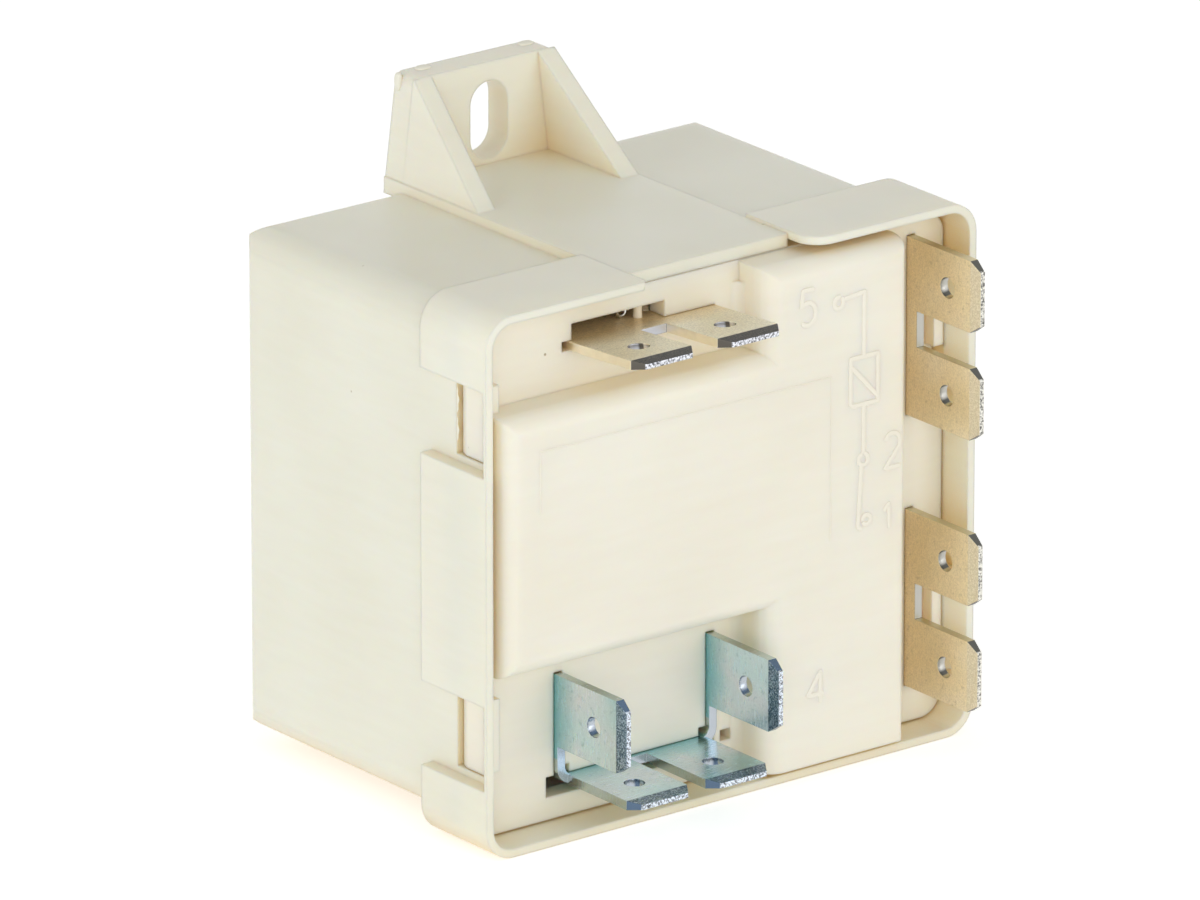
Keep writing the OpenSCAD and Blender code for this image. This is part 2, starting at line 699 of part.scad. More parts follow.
// Terminal 2: a pair of blades outside, the fixed contact's strip inside
module terminal_2() {
    dx = side_x - (fixed_x - strip_t);
    place() color([0.83, 0.79, 0.71]) difference() {
        union() {
            side_blades(t2_z);
            along_z(button_z - 2.5, button_z + 3) step_plan(side_x, dx, rail_y - eps, rail_y + 0.2,
                works_y + 3.7);
            // Tag for the coil lead
            block([side_x, rail_y - eps, tag_2_z - 1.5], [side_x + strip_t, rail_y + 2.4, tag_2_z + 1.5]);
        }
        translate([side_x - dx - 1, works_y, button_z]) rotate([0, 90, 0])
            cylinder(h = 5, d = rivet_d + 2 * hole_gap);
    }
}

// Terminal 1: a pair of blades outside, the contact arm's strip inside
module terminal_1() {
    dx = side_x - (arm_x + arm_t);
    place() color([0.83, 0.79, 0.71]) difference() {
        union() {
            side_blades(t1_z);
            along_z(clamp_z0 - 0.6, clamp_z1) step_plan(side_x, dx, rail_y - eps, rail_y + 0.2,
                works_y + 4.5);
        }
        arm_rivet_holes();
    }
}

// The two rivet holes of the contact arm's clamp
module arm_rivet_holes() {
    for (z = [clamp_z0 + 2.6, clamp_z1 - 2.6]) translate([arm_x - 4, works_y, z]) rotate([0, 90, 0])
        cylinder(h = 8, d = rivet_d + 2 * hole_gap);
}

// Terminal 4: a bracket bent up at both sides, with two tabs on its floor and one on each upright
module terminal_4() {
    x0 = t4_mid - t4_w / 2;
    x1 = t4_mid + t4_w / 2;
    under = t4_z - strip_t;
    back = seat_depth + 0.9;
    root = plate_y - 0.45;
    lean = t4_pitch / 2 + tab_w / 2;
    place() color([0.70, 0.74, 0.78]) union() {
        along_y(root, back) difference() {
            union() {
                translate([x0 + bend_r, under]) square([t4_w - 2 * bend_r, bend_r]);
                translate([x0, under + bend_r]) square([t4_w, t4_tab_z + tab_w - under - bend_r]);
                for (x = [x0 + bend_r, x1 - bend_r]) translate([x, under + bend_r]) circle(bend_r);
            }
            round_rect(x0 + strip_t, t4_z, x1 - strip_t, 40, bend_r - strip_t);
        }
        // Floor tabs
        intersection() {
            along_z(under, t4_z) for (s = [-1, 1]) translate([t4_mid + s * t4_pitch / 2 - tab_w / 2, tab_tip])
                rotate(90) mirror([0, 1]) tab_outline(root - tab_tip + eps);
            along_x(x0, x1) translate([tab_tip, under]) tab_edge(root - tab_tip + eps);
        }
        // Upright tabs
        for (x = [x0, x1 - strip_t]) intersection() {
            along_x(x, x + strip_t) translate([tab_tip, t4_tab_z]) tab_outline(root - tab_tip + eps);
            along_z(t4_tab_z, t4_tab_z + tab_w) translate([x, tab_tip]) rotate(90) mirror([0, 1])
                tab_edge(root - tab_tip + eps);
        }
        // Ears turned outwards behind the base plate
        for (s = [-1, 1]) block([s < 0 ? x0 - 1.5 : x1 - eps, seat_depth, t4_tab_z + 1],
            [s < 0 ? x0 + eps : x1 + 1.5, back, t4_tab_z + tab_w - 1]);
    }
}

// Yoke: lower limb, upright, a foot screwed to the base and a lug for the spring
module yoke() {
    y1 = yoke_y0 + yoke_w;
    left = coil_mid - flange_d / 2 + 2;
    foot_x1 = screw_x + 4;
    place() color([0.62, 0.63, 0.66]) difference() {
        union() {
            block([left, yoke_y0, yoke_z], [pivot_x, y1, yoke_z + yoke_t]);
            block([yoke_x, yoke_y0, yoke_z], [pivot_x, y1, pivot_z]);
            // Tongue that keeps the armature in place
            block([yoke_x, works_y - tongue_w / 2, pivot_z - eps],
                [pivot_x, works_y + tongue_w / 2, pivot_z + armature_t + 0.8]);
            block([yoke_x, foot_y, foot_z0], [pivot_x, yoke_y0 + eps, foot_z1]);
            block([yoke_x, foot_y, foot_z0], [foot_x1, foot_y + yoke_t, foot_z1]);
            block([pivot_x - eps, yoke_y0, spring_lug_z - yoke_t],
                [pivot_x + spring_x + 1.5, yoke_y0 + lug_w, spring_lug_z]);
        }
        for (z = [screw_low, screw_high]) translate([screw_x, foot_y - 1, z]) rotate([-90, 0, 0])
            cylinder(h = 4, d = 3);
        translate([coil_mid, works_y, yoke_z - 1]) cylinder(h = 4, d = core_neck_d + 2 * hole_gap);
        translate([pivot_x + spring_x, yoke_y0 + lug_w / 2, spring_lug_z - 3]) cylinder(h = 5, d = 1.3);
        // Corners of the lower limb and the foot cut back
        for (y = [yoke_y0, y1]) translate([left, y, yoke_z - 1]) rotate(45) translate([-1, -1, 0])
            cube([2, 2, 4]);
    }
}

// Two screws that hold the yoke's foot to the base's posts
module yoke_screws() {
    place() color([0.75, 0.75, 0.74]) for (z = [screw_low, screw_high])
        translate([screw_x, foot_y + yoke_t, z]) rotate([-90, 0, 0]) difference() {
            union() {
                cylinder(h = 1.1, d = screw_head_d);
                translate([0, 0, 1.1]) cylinder(h = 0.7, d1 = screw_head_d, d2 = screw_head_d - 1.6);
                translate([0, 0, 1 - screw_len])
                    cylinder(h = screw_len - 1 + eps, d = pilot_d - 2 * hole_gap);
                translate([0, 0, -screw_len]) cylinder(h = 1 + eps, d1 = 1.2, d2 = pilot_d - 2 * hole_gap);
            }
            for (a = [0, 90]) rotate(a) translate([-1.5, -0.3, 0.8]) cube([3, 0.6, 2]);
        }
}

// Core riveted through the yoke's lower limb, its pole face slotted for the shading ring
module core() {
    place() color([0.60, 0.61, 0.64]) translate([coil_mid, works_y, 0]) difference() {
        union() {
            translate([0, 0, coil_z]) cylinder(h = pivot_z - coil_z, d = core_d);
            translate([0, 0, yoke_z - 0.5]) cylinder(h = yoke_t + 0.5 + eps, d = core_neck_d);
            translate([0, 0, yoke_z - 1]) cylinder(h = 1, d1 = core_neck_d + 0.6, d2 = core_neck_d + 1.6);
        }
        translate([-ring_bar, -core_d, pivot_z - pole_proud + eps]) cube([ring_bar, 2 * core_d, pole_proud]);
    }
}
ring_bar = 1.2;
ring_h = pole_proud - 0.2;

// Copper ring round half of the pole face
module shading_ring() {
    outer = core_d + 1.8;
    place() color([0.80, 0.48, 0.32]) translate([coil_mid, works_y, coil_z + bobbin_h + 0.05]) difference() {
        intersection() {
            cylinder(h = ring_h, d = outer);
            translate([-outer, -outer / 2, 0]) cube([outer - hole_gap, outer, ring_h]);
        }
        intersection() {
            translate([0, 0, -1]) cylinder(h = ring_h + 2, d = core_d + 2 * hole_gap);
            translate([-outer - ring_bar + hole_gap, -outer, -1]) cube([outer, 2 * outer, ring_h + 2]);
        }
    }
}

// Bobbin: a tube with two flanges, notched at the front for the leads
module bobbin() {
    place() color([0.93, 0.92, 0.88]) translate([coil_mid, works_y, coil_z]) difference() {
        union() {
            cylinder(h = flange_t, d = flange_d);
            translate([0, 0, bobbin_h - flange_t]) cylinder(h = flange_t, d = flange_d);
            cylinder(h = bobbin_h, d = core_d + 2 * core_gap + 2 * tube_t);
        }
        translate([0, 0, -1]) cylinder(h = bobbin_h + 2, d = core_d + 2 * core_gap);
        for (s = [-1, 1]) translate([s * lead_dx - 0.8, -flange_d, bobbin_h - flange_t - 1])
            cube([1.6, flange_d - lead_y, flange_t + 2]);
    }
}
lead_dx = 4;
lead_y = winding_d / 2 - 1.4;

// Winding of fine enamelled wire
module winding() {
    place() color([0.72, 0.36, 0.20]) translate([coil_mid, works_y, coil_z + flange_t]) difference() {
        cylinder(h = bobbin_h - 2 * flange_t, d = winding_d);
        translate([0, 0, -1]) cylinder(h = bobbin_h, d = core_d + 2 * core_gap + 2 * tube_t);
    }
}

// Tape round the winding
module winding_wrap() {
    place() color([0.88, 0.80, 0.55]) translate([coil_mid, works_y, coil_z + flange_t]) difference() {
        cylinder(h = bobbin_h - 2 * flange_t, d = winding_d + 2 * wrap_t);
        translate([0, 0, -1]) cylinder(h = bobbin_h, d = winding_d);
    }
}

// Points of the two leads, from the notch in the upper flange to the terminal
lead_start_y = works_y - sqrt(pow(winding_d / 2 + wrap_t, 2) - pow(lead_dx, 2)) - lead_d / 2 - 0.06;
lead_top = coil_z + bobbin_h;
lug_5_x = t5_mid - t5_w / 2 + 3.35;
tag_2_z = t2_z + 11;
lead_5_points = [[coil_mid - lead_dx, lead_start_y, lead_top - flange_t - 3],
    [coil_mid - lead_dx, lead_start_y, lead_top + 1.6],
    [lug_5_x - 1, seat_depth + 3 - lead_d / 2, t5_z - 4.8],
    [lug_5_x, seat_depth + 3.36 - lead_d / 2, t5_z - 3.6],
    [lug_5_x + 0.1, seat_depth + 3.36 - lead_d / 2, t5_z - 2.2]];
lead_2_points = [[lead_dx + coil_mid, lead_start_y, lead_top - flange_t - 3],
    [lead_dx + coil_mid, lead_start_y, lead_top + 0.6],
    [lead_dx + coil_mid + 2.4, lead_start_y, lead_top + 2.6],
    [side_x - 6, lead_start_y - 0.2, tag_2_z - 0.9], [side_x - 3, rail_y + 1.3, tag_2_z - 0.3],
    [side_x - lead_d / 2 - 0.02, rail_y + 1.2, tag_2_z]];

// Sleeved lead along its points
module lead(points) {
    sweep(smooth(points, 6), lead_d / 2, 8);
}

// Lead from the winding to terminal 5
module coil_lead_5() {
    place() color([0.55, 0.50, 0.42]) lead(lead_5_points);
}

// Lead from the winding to terminal 2
module coil_lead_2() {
    place() color([0.55, 0.50, 0.42]) lead(lead_2_points);
}

// What swings with the armature, drawn drawn-down and turned open about the pivot
module swung() {
    place() translate([pivot_x, 0, pivot_z]) rotate([0, armature_open, 0]) translate([0, 0, pivot_gap])
        children();
}

// Armature: limb over the pole, tail down behind the upright, lug for the spring
module armature() {
    left = coil_mid - core_d / 2 - 4 - pivot_x;
    y1 = yoke_y0 + yoke_w;
    tail_y0 = works_y - tail_w / 2 + 0.2;
    swung() color([0.66, 0.67, 0.70]) difference() {
        union() {
            block([left, yoke_y0, 0], [tail_offset - 0.6, y1, armature_t]);
            // Bend and tail
            along_y(tail_y0, tail_y0 + tail_w) difference() {
                union() {
                    translate([tail_offset - 0.6 - eps, -0.6])
                        square([armature_t + 0.6 + eps, 0.6 + armature_t]);
                    translate([tail_offset, -tail_len]) square([armature_t, tail_len]);
                }
                translate([tail_offset - 0.6, -0.6]) circle(0.6, $fn = 32);
                translate([tail_offset - 0.6 - 2 * eps, -1.2]) square([0.6 + 2 * eps, 0.6]);
                difference() {
                    translate([tail_offset - 0.6 + 0.2, armature_t - 1.8]) square([2, 2]);
                    translate([tail_offset + armature_t - 2, armature_t - 2]) circle(2, $fn = 48);
                    translate([tail_offset - 1, armature_t - 5]) square([armature_t - 1, 5 + eps]);
                    translate([tail_offset - 1, armature_t - 5]) square([armature_t + 1 + eps, 3]);
                }
            }
            block([tail_offset - 0.6 - eps, yoke_y0, 0], [spring_x + 1.5, yoke_y0 + lug_w, armature_t]);
        }
        // Window over the yoke's tongue
        block([-yoke_t - 0.5, works_y - tongue_w / 2 - 0.3, -1],
            [0.45, works_y + tongue_w / 2 + 0.3, armature_t + 1]);
        translate([spring_x, yoke_y0 + lug_w / 2, -1]) cylinder(h = 4, d = 1.3);
        translate([tail_offset - 1, works_y + 0.2, -pusher_drop]) rotate([0, 90, 0])
            cylinder(h = 4, d = pusher_peg + 2 * hole_gap);
    }
}

// Insulating pusher pegged through the tail
module pusher() {
    nose_r = 1.5;
    start = tail_offset + armature_t;
    swung() color([0.90, 0.88, 0.82]) translate([0, works_y + 0.2, -pusher_drop]) union() {
        block([start, -2.25, -nose_r], [pusher_reach - nose_r, 2.25, nose_r]);
        block([start, -3, -2.6], [start + 1.2, 3, 2.6]);
        translate([pusher_reach - nose_r, 2.25, 0]) rotate([90, 0, 0])
            cylinder(h = 4.5, r = nose_r, $fn = 32);
        translate([tail_offset - 0.6, 0, 0]) rotate([0, 90, 0])
            cylinder(h = armature_t + 0.7, d = pusher_peg);
        translate([tail_offset - 0.6, 0, 0]) rotate([0, 90, 0]) cylinder(h = 0.6, d1 = 2.6, d2 = 3.2);
    }
}

// Centre line of the return spring: a hook, the turns and a hook
spring_low = spring_lug_z + 0.9;
spring_high = pivot_z - spring_x * sin(armature_open) - 0.9;
spring_per = 12;
spring_r = spring_d / 2;
spring_path = concat(
    [[0, 0, spring_lug_z - yoke_t - 0.35], [0, 0, spring_lug_z - yoke_t / 2], [0, 0, spring_lug_z + 0.25],
        [spring_r * 0.5, 0, spring_low - 0.25]],
    [for (i = [0 : spring_turns * spring_per]) let (a = 360 * i / spring_per,
        t = i / (spring_turns * spring_per))
        [spring_r * cos(a), spring_r * sin(a), spring_low + t * (spring_high - spring_low)]],
    [[spring_r * 0.5, 0, spring_high + 0.25], [0, 0, spring_high + 0.6], [0, 0, spring_high + 1.6],
        [0, 0, spring_high + armature_t + 1.3]]);

// Tube of small rings, each square to the path, swept along its points
module sweep(path, r, sides) {
    n = len(path);
    function unit(v) = v / norm(v);
    function along(i) = unit(path[min(i + 1, n - 1)] - path[max(i - 1, 0)]);
    function across(i) = unit(cross(along(i), [0.02, 1, 0.013]));
    points = [for (i = [0 : n - 1]) let (t = along(i), u = across(i), w = cross(t, u))
        for (k = [0 : sides - 1]) path[i] + r * (cos(360 * k / sides) * u + sin(360 * k / sides) * w)];
    walls = [for (i = [0 : n - 2], k = [0 : sides - 1], h = [0, 1])
        let (a = i * sides + k, b = i * sides + (k + 1) % sides) h == 0 ? [a, b + sides, b] : [a,
            a + sides, b + sides]];
    polyhedron(points, concat(walls, [[for (k = [0 : sides - 1]) k]],
        [[for (k = [sides - 1 : -1 : 0]) (n - 1) * sides + k]]), convexity = 10);
}

// Smooth run of points through a short list of them
function smooth(p, m) = [for (i = [0 : len(p) - 2], j = [0 : m - 1]) let (
        a = p[max(i - 1, 0)], b = p[i], c = p[i + 1], d = p[min(i + 2, len(p) - 1)], t = j / m)
    0.5 * (2 * b + (c - a) * t + (2 * a - 5 * b + 4 * c - d) * t * t + (3 * b - a - 3 * c + d) * t * t * t),
    p[len(p) - 1]];

// Return spring between the yoke's lug and the armature's lug
module return_spring() {
    place() color([0.70, 0.70, 0.72]) translate([pivot_x + spring_x, yoke_y0 + lug_w / 2, 0])
        sweep(spring_path, spring_wire / 2, 6);
}

// Moving length of the contact arm, which flexes just above its clamp
module contact_arm() {
    place() color([0.80, 0.62, 0.36]) difference() {
        along_x(arm_x, arm_x + arm_t) translate([works_y, 0])
            round_rect(-arm_w / 2, arm_z0, arm_w / 2, button_z + arm_w / 2, 1);
        translate([arm_x - 1, works_y, button_z]) rotate([0, 90, 0])
            cylinder(h = 3, d = rivet_d + 2 * hole_gap);
    }
}

// Clamped length of the contact arm on terminal 1
module arm_foot() {
    place() color([0.80, 0.62, 0.36]) difference() {
        block([arm_x, works_y - arm_w / 2, clamp_z0], [arm_x + arm_t, works_y + arm_w / 2, clamp_z1]);
        arm_rivet_holes();
    }
}

// Stiff plate over the clamped length of the contact arm
module arm_clamp() {
    place() color([0.62, 0.63, 0.66]) difference() {
        block([arm_x - clamp_t, works_y - arm_w / 2, clamp_z0], [arm_x, works_y + arm_w / 2, clamp_z1 - 0.3]);
        arm_rivet_holes();
    }
}

// Two rivets through the clamp plate, the arm's foot and terminal 1
module arm_rivets() {
    left = arm_x - clamp_t;
    right = arm_x + arm_t + strip_t;
    place() color([0.80, 0.66, 0.42]) for (z = [clamp_z0 + 2.6, clamp_z1 - 2.6])
        translate([0, works_y, z]) rotate([0, 90, 0]) {
            translate([0, 0, left - 0.6]) cylinder(h = 0.6, d1 = rivet_d + 0.8, d2 = rivet_d + 1.6);
            translate([0, 0, left - eps]) cylinder(h = right - left + 2 * eps, d = rivet_d);
            translate([0, 0, right]) cylinder(h = 0.6, d1 = rivet_d + 1.6, d2 = rivet_d + 0.8);
        }
}

// Contact button with its rivet tail, face at z = 0, drawn down
module button(through) {
    translate([0, 0, -0.25]) cylinder(h = 0.25, d1 = button_d, d2 = button_d - 0.9);
    translate([0, 0, -button_h]) cylinder(h = button_h - 0.25, d = button_d);
    translate([0, 0, -button_h - through - 0.5]) cylinder(h = through + 0.5 + eps, d = rivet_d);
    translate([0, 0, -button_h - through - 0.5]) cylinder(h = 0.5, d1 = rivet_d + 0.4, d2 = rivet_d + 1);
}

// Silver button at the end of the contact arm
module moving_contact() {
    place() color([0.85, 0.85, 0.84]) translate([arm_x - button_h, works_y, button_z]) rotate([0, -90, 0])
        button(arm_t);
}

// Silver button on the inner strip of terminal 2
module fixed_contact() {
    place() color([0.85, 0.85, 0.84]) translate([fixed_x + button_h, works_y, button_z]) rotate([0, 90, 0])
        button(strip_t);
}

cover();
base();
terminal_5();
terminal_2();
terminal_1();
terminal_4();
terminal_5_rivet();
yoke();
yoke_screws();
core();
shading_ring();
bobbin();
winding();
winding_wrap();
coil_lead_5();
coil_lead_2();
armature();
pusher();
return_spring();
contact_arm();
arm_foot();
arm_clamp();
arm_rivets();
moving_contact();
fixed_contact();
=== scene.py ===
"""Compressor start relay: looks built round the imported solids.

Shapes are worked out in millimetres from the rim plane of the cover, and mm() turns them into metres of the
shared frame. Materials work in metres of that frame, and x runs from the middle of the cover in both.
"""

import math

import bmesh
import bpy
import numpy as np
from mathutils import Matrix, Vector


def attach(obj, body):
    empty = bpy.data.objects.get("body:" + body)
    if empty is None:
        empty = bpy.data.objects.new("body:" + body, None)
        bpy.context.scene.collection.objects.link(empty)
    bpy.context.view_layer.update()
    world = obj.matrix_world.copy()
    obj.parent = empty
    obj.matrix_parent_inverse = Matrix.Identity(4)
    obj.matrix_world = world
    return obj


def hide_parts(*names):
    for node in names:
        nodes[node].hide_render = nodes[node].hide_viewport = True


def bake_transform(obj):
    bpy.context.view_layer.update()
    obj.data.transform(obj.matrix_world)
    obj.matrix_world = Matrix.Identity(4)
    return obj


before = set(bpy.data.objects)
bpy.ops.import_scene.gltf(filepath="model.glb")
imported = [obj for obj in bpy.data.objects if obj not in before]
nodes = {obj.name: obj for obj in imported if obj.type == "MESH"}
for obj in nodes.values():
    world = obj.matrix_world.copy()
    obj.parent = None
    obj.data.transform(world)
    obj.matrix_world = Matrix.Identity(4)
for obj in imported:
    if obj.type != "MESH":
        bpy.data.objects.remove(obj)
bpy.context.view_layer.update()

# Places shared with the solids, in millimetres: width of the cover, rim plane of the cover in front of the
# origin, and face of the base's boss in front of the rim plane
COVER_W = 51.8
RIM_Y = -14.875
BOSS_Y = -0.6


def mm(points):
    """Points in millimetres from the rim plane to metres in the shared frame: (p + (0, RIM_Y, 0)) / 1000."""
    return (np.asarray(points, float) + (0.0, RIM_Y, 0.0)) / 1000.0


# Camera
def set_camera():
    """A long lens that looks down 19.3 degrees on the front left corner."""
    cam = bpy.data.cameras.new("camera")
    cam.lens = 463.87
    cam.sensor_width = 36.0
    cam.sensor_fit = "HORIZONTAL"
    cam.clip_start, cam.clip_end = 0.05, 20.0
    eye = bpy.data.objects.new("camera", cam)
    bpy.context.collection.objects.link(eye)
    eye.location = (-0.75289, -0.962265, 0.45559)
    aim = Vector((-0.01154, -0.011665, 0.03235))
    eye.rotation_euler = (aim - eye.location).to_track_quat("-Z", "Y").to_euler()
    bpy.context.scene.camera = eye


# Node helpers
class Tree:
    """A material's node tree with short calls to add and join nodes."""

    def __init__(self, name):
        self.mat = bpy.data.materials.new(name)
        self.mat.use_nodes = True
        self.nodes = self.mat.node_tree.nodes
        self.links = self.mat.node_tree.links
        self.nodes.clear()
        self.out = self.add("ShaderNodeOutputMaterial")

    def add(self, kind, **values):
        node = self.nodes.new(kind)
        for key, value in values.items():
            setattr(node, key, value)
        return node

    def join(self, a, b):
        self.links.new(a, b)

    def coords(self, scale=(1, 1, 1)):
        """Object coordinates, stretched by scale."""
        place = self.add("ShaderNodeTexCoord")
        mapping = self.add("ShaderNodeMapping")
        mapping.inputs["Scale"].default_value = scale
        self.join(place.outputs["Object"], mapping.inputs["Vector"])
        return mapping.outputs["Vector"]

    def noise(self, vector, scale, detail=3.0, roughness=0.5):
        node = self.add("ShaderNodeTexNoise")
        node.inputs["Scale"].default_value = scale
        node.inputs["Detail"].default_value = detail
        node.inputs["Roughness"].default_value = roughness
        self.join(vector, node.inputs["Vector"])
        return node.outputs["Fac"]

    def ramp(self, factor, stops):
        """Colour ramp from (position, colour) stops."""
        node = self.add("ShaderNodeValToRGB")
        elements = node.color_ramp.elements
        while len(elements) < len(stops):
            elements.new(0.5)
        for element, (position, colour) in zip(elements, stops):
            element.position = position
            element.color = (*colour, 1.0)
        self.join(factor, node.inputs["Fac"])
        return node.outputs["Color"]

    def span(self, factor, low, high, start=0.0, end=1.0):
        """Maps start..end of factor to low..high."""
        node = self.add("ShaderNodeMapRange")
        for key, value in (("From Min", start), ("From Max", end), ("To Min", low), ("To Max", high)):
            node.inputs[key].default_value = value
        self.join(factor, node.inputs["Value"])
        return node.outputs["Result"]

    def bump(self, height, distance, strength=1.0, under=None):
        node = self.add("ShaderNodeBump")
        node.inputs["Distance"].default_value = distance
        node.inputs["Strength"].default_value = strength
        self.join(height, node.inputs["Height"])
        if under is not None:
            self.join(under, node.inputs["Normal"])
        return node.outputs["Normal"]

    def mix(self, factor, low, high):
        """Colour low where factor is 0 and high where it is 1; each is an output or a constant colour."""
        node = self.add("ShaderNodeMix", data_type="RGBA")
        self.join(factor, node.inputs["Factor"])
        for key, value in (("A", low), ("B", high)):
            if isinstance(value, tuple):
                node.inputs[key].default_value = (*value, 1)
            else:
                self.join(value, node.inputs[key])
        return node.outputs["Result"]

    def scaled(self, colour, factor):
        """Colour times a number."""
        node = self.add("ShaderNodeVectorMath", operation="SCALE")
        self.join(colour, node.inputs[0])
        self.join(factor, node.inputs["Scale"])
        return node.outputs[0]

    def shader(self, **values):
        node = self.add("ShaderNodeBsdfPrincipled")
        for key, value in values.items():
            node.inputs[key.replace("_", " ")].default_value = value
        self.join(node.outputs["BSDF"], self.out.inputs["Surface"])
        return node


def rgb(r, g, b):
    """An 8-bit screen colour as the linear colour that shows it."""
    def linear(c):
        c /= 255.0
        return c / 12.92 if c <= 0.04045 else ((c + 0.055) / 1.055) ** 2.4
    return tuple(linear(c) for c in (r, g, b))


# Materials
# Painted shade: distance in metres over which hollows in the plastic are tinted towards an amber shade tone,
# standing in for the shade there and the light through the thin walls, and the openness at which that starts
PAINTED_SHADE_REACH, PAINTED_SHADE_FROM = 0.006, 0.60
# Tone of the specks in the plastic, and the weight of the flow streaks beside the slow drift
SPECK_TONE, FLOW_WEIGHT = (165, 150, 120), 0.35
# Depth in metres to which light goes into the plastic, and its shares for red, green and blue
SCATTER_DEPTH, SCATTER_SHARES = 0.0016, (1.0, 0.72, 0.38)
# Depths in metres of slow unevenness, fine grain, the ribs between wires and the dips between threads
UNEVEN, GRAIN, WIRE_RIBS, THREAD_DIPS = 0.00004, 0.00001, 0.00005, 0.00003


def faded(tone, share):
    """A colour times a number."""
    return tuple(share * c for c in tone)


def moulded_plastic(name, pale, deep, painted_shade, scatter=0.25, grain=1.0, gloss=(0.34, 0.44), soft_edge=0.35):
    """Moulded plastic: slow tone drift, faint flow streaks, painted shade deep in hollows (an amber tone
    standing in for the shade there and for light that passes through the walls), fine spark-eroded grain,
    edges softened over soft_edge millimetres and a few specks."""
    t = Tree(name)
    at = t.coords()
    slow = t.noise(at, 55, 2.0)
    flow = t.noise(t.coords((1, 1, 7)), 160, 3.0)
    drift = t.add("ShaderNodeMath", operation="MULTIPLY_ADD")
    t.join(flow, drift.inputs[0])
    drift.inputs[1].default_value = FLOW_WEIGHT
    t.join(slow, drift.inputs[2])
    colour = t.ramp(drift.outputs[0], [(0.45, deep), (0.95, pale)])
    specks = t.add("ShaderNodeTexVoronoi", feature="F1")
    specks.inputs["Scale"].default_value = 420
    t.join(at, specks.inputs["Vector"])
    speck = t.span(specks.outputs["Distance"], 1.0, 0.0, 0.03, 0.07)
    rare = t.span(t.noise(at, 300, 1.0), 0.0, 1.0, 0.66, 0.70)
    both = t.add("ShaderNodeMath", operation="MULTIPLY")
    t.join(speck, both.inputs[0])
    t.join(rare, both.inputs[1])
    colour = t.mix(both.outputs[0], colour, rgb(*SPECK_TONE))
    # Painted shade: the less open the plastic, the more its colour turns to the amber shade tone
    hollow = t.add("ShaderNodeAmbientOcclusion", samples=3)
    hollow.inputs["Distance"].default_value = PAINTED_SHADE_REACH
    colour = t.mix(t.span(hollow.outputs["AO"], 0.9, 0.0, 0.0, PAINTED_SHADE_FROM), colour, painted_shade)
    shader = t.shader(IOR=1.5, Subsurface_Weight=scatter, Subsurface_Scale=SCATTER_DEPTH,
                      Subsurface_Radius=SCATTER_SHARES, Specular_IOR_Level=0.5)
    t.join(colour, shader.inputs["Base Color"])
    t.join(t.span(slow, *gloss), shader.inputs["Roughness"])
    edge = t.add("ShaderNodeBevel", samples=4)
    edge.inputs["Radius"].default_value = soft_edge / 1000.0
    under = t.bump(t.noise(at, 260, 2.0), UNEVEN, 0.3, edge.outputs["Normal"])
    t.join(t.bump(t.noise(at, 5200, 2.0, 0.6), GRAIN * grain, 0.4, under), shader.inputs["Normal"])
    return t.mat


# Height in metres that parts the upright tabs of terminal 4 from its floor tabs
UPRIGHT_FROM = 0.0062
# Place in metres along y of the tabs' tips, the length of their coined slope, and the depths at the very
# tip where the painted glints of the torn edge end and where none of them are left
TIP_Y, TIP_LEN, TIP_GLINT_END, TIP_GLINT_GONE = -0.021125, 0.0012, 0.00010, 0.00018
# Place in metres along y of the face of the base plate that the tabs come out of, and the length of tab
# that takes the root tone
ROOT_Y, ROOT_LEN = -0.0116, 0.0030
# Half the distance in metres over which one area of a tab fades into the next
FADE = 0.00005
# Round in metres that the shading gives the edges of sheet
SHEET_ROUND = 0.00008


def normal_size(t, axis):
    """How much the surface faces along an axis, either way."""
    place = t.add("ShaderNodeTexCoord")
    normal = t.add("ShaderNodeSeparateXYZ")
    t.join(place.outputs["Normal"], normal.inputs[0])
    size = t.add("ShaderNodeMath", operation="ABSOLUTE")
    t.join(normal.outputs[axis], size.inputs[0])
    return size.outputs[0]


def where(t, axis):
    """Place along an axis in metres."""
    place = t.add("ShaderNodeTexCoord")
    split = t.add("ShaderNodeSeparateXYZ")
    t.join(place.outputs["Object"], split.inputs[0])
    return split.outputs[axis]


def sheet_faces(t, axis):
    """1 on the rolled faces of a sheet, 0 on its cut edges, from the normal along the sheet's thickness.
    Axis BOTH is for terminal 4, whose upper tabs stand upright and whose lower tabs lie flat."""
    if axis != "BOTH":
        return t.span(normal_size(t, axis), 0.0, 1.0, 0.70, 0.90)
    upright = t.span(where(t, "Z"), 0.0, 1.0, UPRIGHT_FROM - 2 * FADE, UPRIGHT_FROM + 2 * FADE)
    pick = t.add("ShaderNodeMix", data_type="FLOAT")
    t.join(upright, pick.inputs["Factor"])
    t.join(normal_size(t, "Z"), pick.inputs["A"])
    t.join(normal_size(t, "X"), pick.inputs["B"])
    return t.span(pick.outputs["Result"], 0.0, 1.0, 0.70, 0.90)


def tip_slope(t):
    """1 on the coined slope at the tabs' tips, 0 behind it."""
    return t.span(where(t, "Y"), 1.0, 0.0, TIP_Y + TIP_LEN - FADE, TIP_Y + TIP_LEN + FADE)


